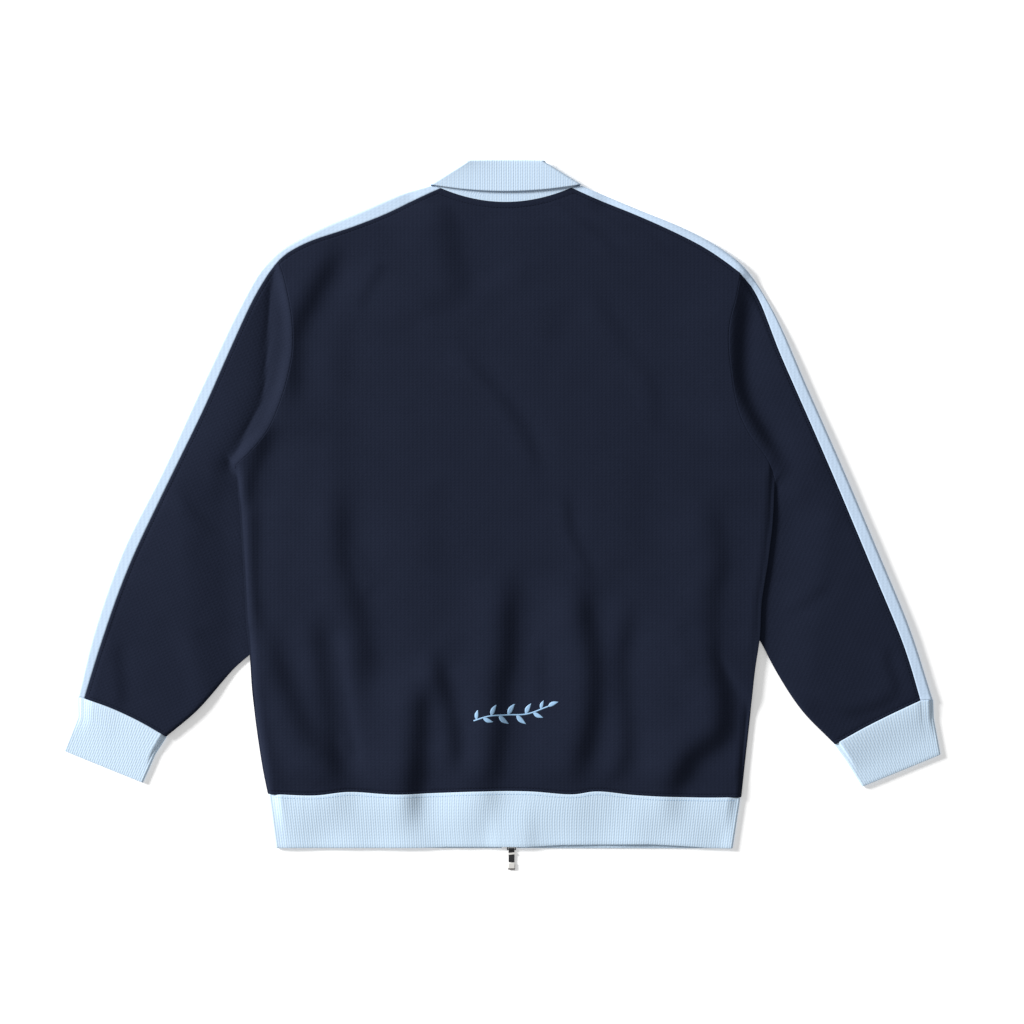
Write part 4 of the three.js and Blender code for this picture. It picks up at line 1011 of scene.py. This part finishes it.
def laid(left, right, ends, bow, lift):
    """Rings of a band that lies on the surface"""
    low = np.full(len(left), RIB_LOW)
    high = low + RIB_RISE
    return {"left": left, "right": right, "low": low, "high": high, "ends": ends, "bow": bow, "lift": lift}


def ribbed(ridges, thick):
    return RIB_RELIEF * ridges * (0.25 + 0.75 * thick)


def outer_face(level, turn, out, drop):
    """A band's outer face, which stays over the surface"""
    face = ring(level, turn, out, drop)
    face[..., 2] = np.maximum(face[..., 2], 0.02)
    return face


def band(name, level, rows, turn, ribs, length, closed):
    """A rib band of two faces"""
    share, thick, drop = rows
    far = (share * length)[:, None]
    half = RIB_WALL / 2 * thick
    relief = ribbed(ridge(ribs), thick) * ease((far - 0.3) / 4)
    outer = outer_face(level, turn, half - sink(far) + relief, drop)
    return shell(name, outer, ring(level, turn, -half, drop), RIB, closed, ridge(ribs))


def add_cuff(half):
    rows = [sorted(row) for row in half["cuff"]]
    cut = profile(19, CUFF_DEPTH)
    share = cut[0]
    places = np.array(rows, float)
    left, right = [
        np.stack([np.interp(share, [0, 0.4, 1], places[:, end, axis]) for axis in (0, 1)], axis=1)
        for end in (0, 1)
    ]
    first, last = rows[0]
    seams = []
    for underneath in (False, True):
        line = np.vstack([half["outline"][-1], cuff_edge(half, underneath)])
        seams.append(straight_to(line[np.argsort(line[:, 0])], first, last))
    fade = ((1 - share) ** 2)[:, None]
    seam = cuff_edge(half, False)
    seam = seam[np.argsort(seam[:, 0])]
    over = sleeve_height(half, seam[:, 0], seam[:, 1]) - RIB_LOW - RIB_RISE

    def at_seam(x):
        """The place at the seam that stands over a place on the cuff"""
        return mix(first[0], last[0], (x - x.min(axis=1, keepdims=True)) / np.ptp(x, axis=1, keepdims=True))

    def lift(x, _, amount):
        high = np.interp(at_seam(x), seam[:, 0], over) * ease(1 - 1.3 * share)[:, None]
        high += 0.6 * ripple(x * 1.4, x * 0.6 + 20)
        return np.where(amount <= 1, high * ease((1 - amount) * 12), 0)

    def bow(x, _, below):
        return fade * np.where(below, seams[1](at_seam(x)), seams[0](at_seam(x)))

    turn, ribs = rib_turns(CUFF_WIDTH, CUFF_WIDTH / 2)
    level = laid(left, right, [0, 0], bow, lift)
    piece = band("cuff_band_" + half["name"], level, cut, turn, ribs[None], CUFF_DEPTH, True)
    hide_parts("cuff_" + half["name"])
    return piece


# How far the back of the hem's lower edge lies above its front
HEM_LIFTS = [
    (-241, 0), (-90, 0.2), (-60, 1.3), (20, 1.3), (60, 3.4), (150, 4.2), (190, 2.2), (215, 0.3), (237, 0),
]


def add_hem():
    seam = spaced(HEM_SEAM, HEM_STEPS)
    cut = profile(17, HEM_DEPTH)
    share = cut[0][:, None]
    ends = np.array([LEFT["hem"], RIGHT["hem"]], float)
    left, right = [mix(end[0], end[1], share) for end in ends]
    to_seam = straight_to(seam, LEFT["hem"][0], RIGHT["hem"][0])
    lifts = np.array(HEM_LIFTS, float)
    over = back_height(seam[:, 0], seam[:, 1]) - RIB_LOW - RIB_RISE

    def bow(x, across, below):
        away = np.minimum(1, (1 - np.abs(across)) * 12)
        foot = np.interp(x, lifts[:, 0], lifts[:, 1])
        return np.where(below, 0, away * mix(to_seam(x), foot, share))

    def lift(x, _, amount):
        rise = 0.8 * ZIP_RISE * over_zip(x)
        waves = 0.35 * np.sin(x / 21 + 0.5) + 0.25 * np.sin(x / 9.5)
        high = mix(np.interp(x, seam[:, 0], over), rise + waves, ease(share * 1.15))
        return np.where(amount <= 1, high * ease((1 - amount) * 20), 0)

    centre = (left[:, :1] + right[:, :1]) / 2
    ends = [centre - ZIP_X + FRONT_EDGE, ZIP_X + FRONT_EDGE - centre]
    turn, ribs = rib_turns(HEM_WIDTH, 240, rough=3)
    middle = np.exp(-(((turn - 0.02) / 0.25) ** 2)) * (np.abs(turn) < 1)
    slant = 1.6 * np.sin(np.pi * share) * middle
    level = laid(left, right, ends, bow, lift)
    piece = band("hem_band", level, cut, turn, ribs + slant, HEM_DEPTH, False)
    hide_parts("hem_rib")
    return piece


def collar_level(levels, low, high, sag, near):
    """Rings of the collar, one to each row"""
    count = len(levels)
    place = {key: np.array([level[key] for level in levels], float) for key in levels[0]}
    side = np.stack([np.full(count, COLLAR_X), place["side"]], axis=1)
    out = np.stack([place["a"], np.zeros(count)], axis=1)
    rows = [np.broadcast_to(np.asarray(one, float), count) for one in (low, high, sag, near)]
    low, high, sag, near = rows

    def bow(_, share, below):
        target = np.where(below, place["front"][:, None], place["back"][:, None])
        return (1 - share**2) * (target - place["side"][:, None])

    def lift(x, share, amount):
        over = -COLLAR_SAG * sag[:, None] * (1 - share**2)
        beneath = -RIB_RISE * near[:, None] * near_zip(x)
        return np.where(amount <= 1, over, np.where(amount > 2, beneath, 0))

    ends = [COLLAR_X - ZIP_X + COLLAR_END, ZIP_X + COLLAR_END - COLLAR_X]
    left, right = side - out, side + out
    return {"left": left, "right": right, "low": low, "high": high, "ends": ends, "bow": bow, "lift": lift}


def between(a, b, share):
    return [{key: mix(a[key], b[key], s) for key in a} for s in share]


def straight_ribs(level, turn, ribs):
    """Ribs that run straight up a collar's upper half, at one pitch, and on round its sides"""
    x = ring(level, turn, 0.0)[..., 0] - COLLAR_X
    first, last = np.argmin(np.abs(turn + 1)), np.argmin(np.abs(turn - 1))
    before = ribs - ribs[first] + x[:, first : first + 1] / RIB_PITCH
    after = ribs - ribs[last] + x[:, last : last + 1] / RIB_PITCH
    return np.where(turn < -1, before, np.where(turn > 1, after, x / RIB_PITCH))


def add_collar():
    turn, ribs = rib_turns(2 * EDGE["a"], EDGE["a"])
    half = RIB_WALL / 2
    neck_high = float(back_height(np.array([COLLAR_X - NECK["a"]]), np.array([NECK["side"]]))[0])

    stand = np.append([0, 0.02, 0.05], np.linspace(0.1, 1, 9))
    high = mix(neck_high, COLLAR_HIGH, stand)
    near = np.clip(1 - stand / 0.25, 0, 1)
    level = collar_level(between(NECK, FOLD, stand), RIB_LOW + RIB_RISE, high, stand, near)
    fade = ease(stand / 0.06) * ease((1 - stand) / 0.3)
    stand_ribs = ridge(straight_ribs(level, turn, ribs))
    stand_in = ring(level, turn, np.full((len(stand), 1), -half))
    stand_out = ring(level, turn, half + RIB_RELIEF * stand_ribs * fade[:, None])

    phi = np.radians(np.linspace(0, 180, 9)[1:-1])
    level = collar_level([FOLD] * len(phi), RIB_LOW + RIB_RISE, COLLAR_HIGH, 1, 0)
    fold_ribs = ridge(straight_ribs(level, turn, ribs))
    sideways = np.minimum(1, np.abs(turn)) ** 2
    arcs = []
    for radius, relief in ((RIB_RISE / 2 + half, RIB_RELIEF), (RIB_RISE / 2 - half, 0)):
        full = radius + relief * 0.6 * fold_ribs * np.sin(phi / 2)[:, None]
        out = RIB_RISE / 2 - full * np.cos(phi)[:, None]
        arcs.append(ring(level, turn, out, -(full * np.sin(phi)[:, None] + TURN_RISE * sideways[None])))

    leaf, thick, drop = with_edge(np.linspace(0, 1, LEAF_ROWS))
    turned = {**FOLD, "a": FOLD["a"] + RIB_RISE, "side": FOLD["side"] + TURN_RISE}
    high = mix(COLLAR_HIGH, neck_high, leaf) + RIB_RISE + 0.4 * leaf
    level = collar_level(between(turned, EDGE, leaf), RIB_LOW, high, 1 - leaf, 0)
    leaf_ribs = ridge(straight_ribs(level, turn, ribs))
    leaf_out = outer_face(level, turn, half * thick + ribbed(leaf_ribs, thick), drop)
    leaf_in = ring(level, turn, -half * thick, drop)

    outer = np.concatenate([stand_in, arcs[0], leaf_out])
    inner = np.concatenate([stand_out, arcs[1], leaf_in])
    ridges = np.concatenate([stand_ribs, fold_ribs, leaf_ribs])
    piece = shell("collar_band", outer, inner, SHADED_COLLAR_RIB, False, ridges)
    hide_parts("collar")
    return piece


# Stitches, lying on the pieces that they are sewn through


def surface(piece):
    """A piece's faces, to find the height of its top in"""
    polygons = [tuple(polygon.vertices) for polygon in piece.data.polygons]
    return BVHTree.FromPolygons([tuple(vertex.co) for vertex in piece.data.vertices], polygons)


def dropped(tree, line):
    """The heights of a piece's top under places, in garment millimetres"""
    heights = []
    for x, y in line:
        start = Vector(((x + MIDDLE[0]) / 1000, (y + MIDDLE[1]) / 1000, 0.05))
        hit = tree.ray_cast(start, Vector((0, 0, -1)))[0]
        heights.append(hit.z * 1000 if hit else np.nan)
    return np.array(heights)


def thread_run(tree, line):
    """Points and faces of a run of stitches along a line, each stitch of five rings of six points"""
    length = np.sum(np.linalg.norm(np.diff(line, axis=0), axis=1))
    count = int(length / STITCH_PITCH)
    even = evened(line, count * 4)
    heights = dropped(tree, even)
    gap = 0.5 * STITCH_GAP / STITCH_PITCH
    share = np.linspace(gap, 1 - gap, 5)
    radius = STITCH_RADIUS * np.array([0.35, 0.9, 1, 0.9, 0.35])
    arch = np.array([-0.1, 0.1, 0.14, 0.1, -0.1])
    around = np.linspace(0, 2 * np.pi, 6, endpoint=False)
    points, faces = [], []
    for k in range(count):
        part = even[4 * k : 4 * k + 5]
        height = heights[4 * k : 4 * k + 5]
        if np.isnan(height).any():
            continue
        side = turned_left(unit(part[-1] - part[0]))
        places = at(part, share)[:, None] + side * (radius[:, None] * np.cos(around))[..., None]
        rise = at(height[:, None], share) + arch[:, None] + radius[:, None] * np.sin(around)
        index = len(points) * STITCH_POINTS + np.arange(STITCH_POINTS).reshape(5, 6)
        faces.append(quads(np.hstack([index, index[:, :1]])))
        points.append(lifted(places, rise).reshape(-1, 3))
    return points, faces


def inset(line, distance, towards=INSIDE):
    return line + square_to(line, towards) * distance


def stitching_piece(name, runs, material):
    points, faces = [], []
    for tree, line in runs:
        made, joined_up = thread_run(tree, line)
        faces += [face + len(points) * STITCH_POINTS for face in joined_up]
        points += made
    return make(name, np.concatenate(points), np.concatenate(faces), material, 80)


def add_stitches(pieces):
    tree = surface(pieces["back"])
    x = np.linspace(-NECK_CORNER, NECK_CORNER, 90)
    neck = np.stack([x, neck_line(x, "back")], axis=1)
    runs = [(tree, inset(neck, STITCHES["neck"])), (tree, inset(spaced(HEM_SEAM, 200), STITCHES["hem"]))]
    for half in (LEFT, RIGHT):
        top = SEAMS[half["name"]][0]
        sleeve = surface(pieces["sleeve_back_" + half["name"]])
        shoulder = inset(top[: SHOULDER_STEPS + 1], STITCHES["shoulder"])
        stripe = inset(top[SHOULDER_STEPS:], STITCHES["stripe"], (0, 100))
        cuff = inset(cuff_edge(half, False), STITCHES["cuff"], (half["sign"] * 250, 400))
        runs += [(tree, shoulder[2:-3]), (sleeve, stripe[4:-2]), (sleeve, cuff[2:-2])]
    return stitching_piece("topstitching", runs, THREAD)


def add_hem_stitches(hem):
    line = inset(spaced(HEM_SEAM, 200), -STITCHES["hem"] - 0.4)[3:-3]
    return stitching_piece("hem_topstitching", [(surface(hem), line)], PALE_THREAD)


# A sprig of leaves embroidered low on the back, and where each leaf leaves the stem, as a share of it,
# the degrees that it turns away and its length

STEM = [(-34, 134), (-18, 139), (2, 140), (22, 141), (44, 149)]
LEAVES = [
    (0.04, 62, 11), (0.13, -40, 12), (0.24, 58, 13), (0.34, -42, 14), (0.46, 56, 14), (0.57, -44, 14),
    (0.69, 54, 13), (0.79, -46, 12), (0.9, 50, 10), (1.0, 4, 12),
]
LEAF_WIDTH = 0.36
STEM_STEPS = 60


def leaf_grid(base, way, turn, length):
    """A leaf's places, and its satin stitches' height over the cloth"""
    u, v = np.linspace(0, 1, 42)[:, None], np.linspace(-1, 1, 15)[None]
    angle = np.radians(turn)
    turned = np.array([[np.cos(angle), -np.sin(angle)], [np.sin(angle), np.cos(angle)]])
    along = turned @ way
    wide = LEAF_WIDTH * length * np.sin(np.pi * u**0.8) * 0.5
    curl = 0.06 * length * np.sin(np.pi * u) * np.sign(turn)
    place = base + along * (u * length)[..., None] + turned_left(along) * (curl + wide * v)[..., None]
    threads = 0.07 * np.sin(2 * np.pi * (u * length - 1.1 * np.abs(v)) / 0.8)
    height = (0.5 * np.sqrt(1 - v**2) + 0.1) * np.sqrt(np.sin(np.pi * np.clip(u, 0.02, 0.98)))
    vein = 0.2 * np.exp(-((v / 0.12) ** 2))
    return place, height * (1 - vein) + threads * (1 - v**2)


def add_sprig(back):
    tree = surface(back)
    stem = spaced(STEM, STEM_STEPS)
    run = unit(np.gradient(stem, axis=0))
    across = np.linspace(-1, 1, 7)
    place = stem[:, None] + turned_left(run)[:, None] * across[None, :, None] * 0.75
    grids = [(place, 0.45 * np.sqrt(1 - across**2)[None] * np.ones((STEM_STEPS + 1, 1)))]
    for share, turn, length in LEAVES:
        grids.append(leaf_grid(at(stem, share), at(run, share), turn, length))
    points, faces, count = [], [], 0
    for place, height in grids:
        z = dropped(tree, place.reshape(-1, 2)).reshape(height.shape)
        points.append(lifted(place, z + height).reshape(-1, 3))
        faces.append(quads(count + np.arange(height.size).reshape(height.shape)))
        count += height.size
    return make("leaf_sprig", np.concatenate(points), np.concatenate(faces), PALE_THREAD, 80)


# Zip and pull


BOX_FACES = np.array([[0, 1, 3, 2], [4, 6, 7, 5], [0, 4, 5, 1], [2, 3, 7, 6], [0, 2, 6, 4], [1, 5, 7, 3]])

# Teeth: millimetres from one to the next, and each one's stem and hook: its reach from the chain's
# middle on the far side and on its own, its lowest and highest place, and its size along the chain
TOOTH_PITCH = 1.5
TOOTH_PARTS = ((-0.6, 2.7, 0.25, 1.75, 1.05), (-0.9, 0.5, 0.45, 1.5, 1.3))
SLIDER_LENGTH = 11


def corners_of(x, y, z):
    return [(a, b, c) for a in x for b in y for c in z]


def bar(name, corners, material, bevel, segments=3):
    """A bar between two x, two y and two z, with rounded edges"""
    piece = make(name, corners_of(*corners), BOX_FACES, material, 50)
    modifier = piece.modifiers.new("rounded", "BEVEL")
    modifier.width = bevel / 1000
    modifier.segments = segments
    modifier.limit_method = "NONE"
    return piece


def joined_piece(name, parts):
    """One piece of several, with their modifiers made part of the mesh"""
    graph = bpy.context.evaluated_depsgraph_get()
    for part in parts:
        shaped = bpy.data.meshes.new_from_object(part.evaluated_get(graph))
        part.modifiers.clear()
        part.data = shaped
    with bpy.context.temp_override(active_object=parts[0], selected_editable_objects=parts):
        bpy.ops.object.join()
    parts[0].name = name
    return parts[0]


def about(width):
    return (ZIP_X - width / 2, ZIP_X + width / 2)


def add_zip():
    start, finish = ZIP_FOOT + SLIDER_LENGTH + 0.5, ZIP_HEAD - SLIDER_LENGTH - 0.5
    points, faces = [], []
    for k in range(int((finish - start) / TOOTH_PITCH)):
        way = 1 if k % 2 else -1
        y = start + 0.2 + k * TOOTH_PITCH
        for near, far, low, high, size in TOOTH_PARTS:
            x = sorted((ZIP_X + way * near, ZIP_X + way * far))
            faces.append(BOX_FACES + 8 * len(points))
            points.append(np.array(corners_of(x, (y, y + size), (low, high))))
    teeth = make("zip_teeth", np.concatenate(points), np.concatenate(faces), TEETH, 30)
    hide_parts("zip_chain")
    return teeth


def add_pull():
    tape = bar("pull_tape", (about(6.2), (-15, -2.3), (0.75, 1.45)), TAPE, 0.3)
    loop = bar("pull_loop", (about(6.1), (-2.5, 0), (0.1, 2.3)), TAPE, 0.5)
    loop = joined_piece("pull_tape", [tape, loop])
    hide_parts("pull_tab")
    strap = bar("pull_strap", (about(7.5), (-1.05, 1.05), (0.02, 2.15)), STEEL, 0.3)
    for vertex in strap.data.vertices:
        x = vertex.co.x * 1000 - MIDDLE[0] - ZIP_X
        vertex.co.y += (-5.8 + 0.12 * x) / 1000
    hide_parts("pull_band")
    end = bar("pull_end", (about(7.2), (-21.6, -15.3), (0.25, 2)), STEEL, 0.85, 4)
    rim = bar("pull_rim", (about(7.4), (-22.7, -16.5), (0.15, 1.7)), BRONZE, 0.75, 4)
    cap = joined_piece("pull_end", [end, rim])
    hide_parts("pull_cap")
    return [loop, strap, cap]


def slider(name, node_name, bars):
    """A slider of black bars. Each has its name, its x, y and z, and the size of its rounded edges."""
    parts = [bar(part, places, BLACK_METAL, bevel) for part, *places, bevel in bars]
    piece = joined_piece(name, parts)
    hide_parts(node_name)
    return piece


def add_sliders():
    foot, head = ZIP_FOOT, ZIP_HEAD - SLIDER_LENGTH
    plate, cover = (0.02, 0.75), (1.2, 1.8)
    ear = (-2.2, foot + 1)
    lower = slider("slider_lower", "zip_slider_lower", [
        ("slider_low", about(9.4), (SLIDER_FOOT, foot + SLIDER_LENGTH), plate, 0.3),
        ("slider_high", about(8.6), (SLIDER_FOOT, foot + SLIDER_LENGTH - 0.6), cover, 0.3),
        ("slider_post", about(2.4), (foot + 5, foot + 10), (0.6, 1.4), 0.2),
        ("slider_ear_a", (ZIP_X - 4.7, ZIP_X - 3.7), ear, (0.02, 1.8), 0.3),
        ("slider_ear_b", (ZIP_X + 3.7, ZIP_X + 4.7), ear, (0.02, 1.8), 0.3),
        ("slider_pin", about(8.4), (-1.6, -0.8), (0.8, 1.6), 0.3),
    ])
    upper = slider("slider_upper", "zip_slider_upper", [
        ("upper_low", about(9.4), (head, ZIP_HEAD), plate, 0.3),
        ("upper_high", about(8.6), (head + 0.6, ZIP_HEAD - 0.6), cover, 0.3),
        ("upper_post", about(2.4), (head + 1, head + 6), (0.6, 1.4), 0.2),
    ])
    return [lower, upper]


cloth = add_cloth()
cuffs = [add_cuff(LEFT), add_cuff(RIGHT)]
hem = add_hem()
collar = add_collar()
stitching = add_stitches(cloth)
hem_stitching = add_hem_stitches(hem)
sprig = add_sprig(cloth["back"])
teeth = add_zip()
pulls = add_pull()
sliders = add_sliders()

for piece in [*cloth.values(), *cuffs, hem, collar, stitching, hem_stitching, sprig, teeth, *sliders]:
    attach(piece, "jacket")
for piece in pulls:
    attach(piece, "pull")

tape_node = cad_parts["zip_tape"]
tape_node.data.materials.clear()
tape_node.data.materials.append(NAVY_TAPE)

# Floor, light and camera

FLOOR_REACH = 8
FLOOR_DROP = 0.0003
WORLD_LIGHT = 0.36
KEY_SIZE = 2.1
KEY_POWER = 950
KEY_DISTANCE = 7
KEY_FROM = (-0.85, 0.38, 0.39)
SENSOR = 36
LENS = 100

# What the camera looks down on: the middle of the picture, and how much shows across it
VIEW_MIDDLE = (0.0103, 0.0032)
VIEW_WIDTH = 1.0752

floor_mesh = bpy.data.meshes.new("floor")
corners = [(FLOOR_REACH * x, FLOOR_REACH * y, 0) for x, y in ((-1, -1), (1, -1), (1, 1), (-1, 1))]
floor_mesh.from_pydata(corners, [], [(0, 1, 2, 3)])
floor = bpy.data.objects.new("floor", floor_mesh)
floor.location.z = -FLOOR_DROP
white = {"Emission_Color": (1, 1, 1, 1), "Emission_Strength": 0.3}
floor_mesh.materials.append(nodes_of("floor", (0.9, 0.9, 0.9), 0.9, **white)[0])
bpy.context.collection.objects.link(floor)

world = bpy.data.worlds.new("studio")
world.use_nodes = True
world.node_tree.nodes["Background"].inputs["Color"].default_value = (1, 1, 1, 1)
world.node_tree.nodes["Background"].inputs["Strength"].default_value = WORLD_LIGHT
bpy.context.scene.world = world

key_data = bpy.data.lights.new("key", "AREA")
key_data.shape = "DISK"
key_data.size = KEY_SIZE
key_data.energy = KEY_POWER
key = bpy.data.objects.new("key", key_data)
key.location = KEY_DISTANCE * Vector(KEY_FROM).normalized()
key.rotation_euler = key.location.to_track_quat("Z", "Y").to_euler()
bpy.context.collection.objects.link(key)

camera_data = bpy.data.cameras.new("camera")
camera_data.sensor_width = SENSOR
camera_data.lens = LENS
camera = bpy.data.objects.new("camera", camera_data)
camera.location = (*VIEW_MIDDLE, VIEW_WIDTH * LENS / SENSOR)
bpy.context.collection.objects.link(camera)
bpy.context.scene.camera = camera
bpy.context.scene.view_settings.view_transform = "Standard"
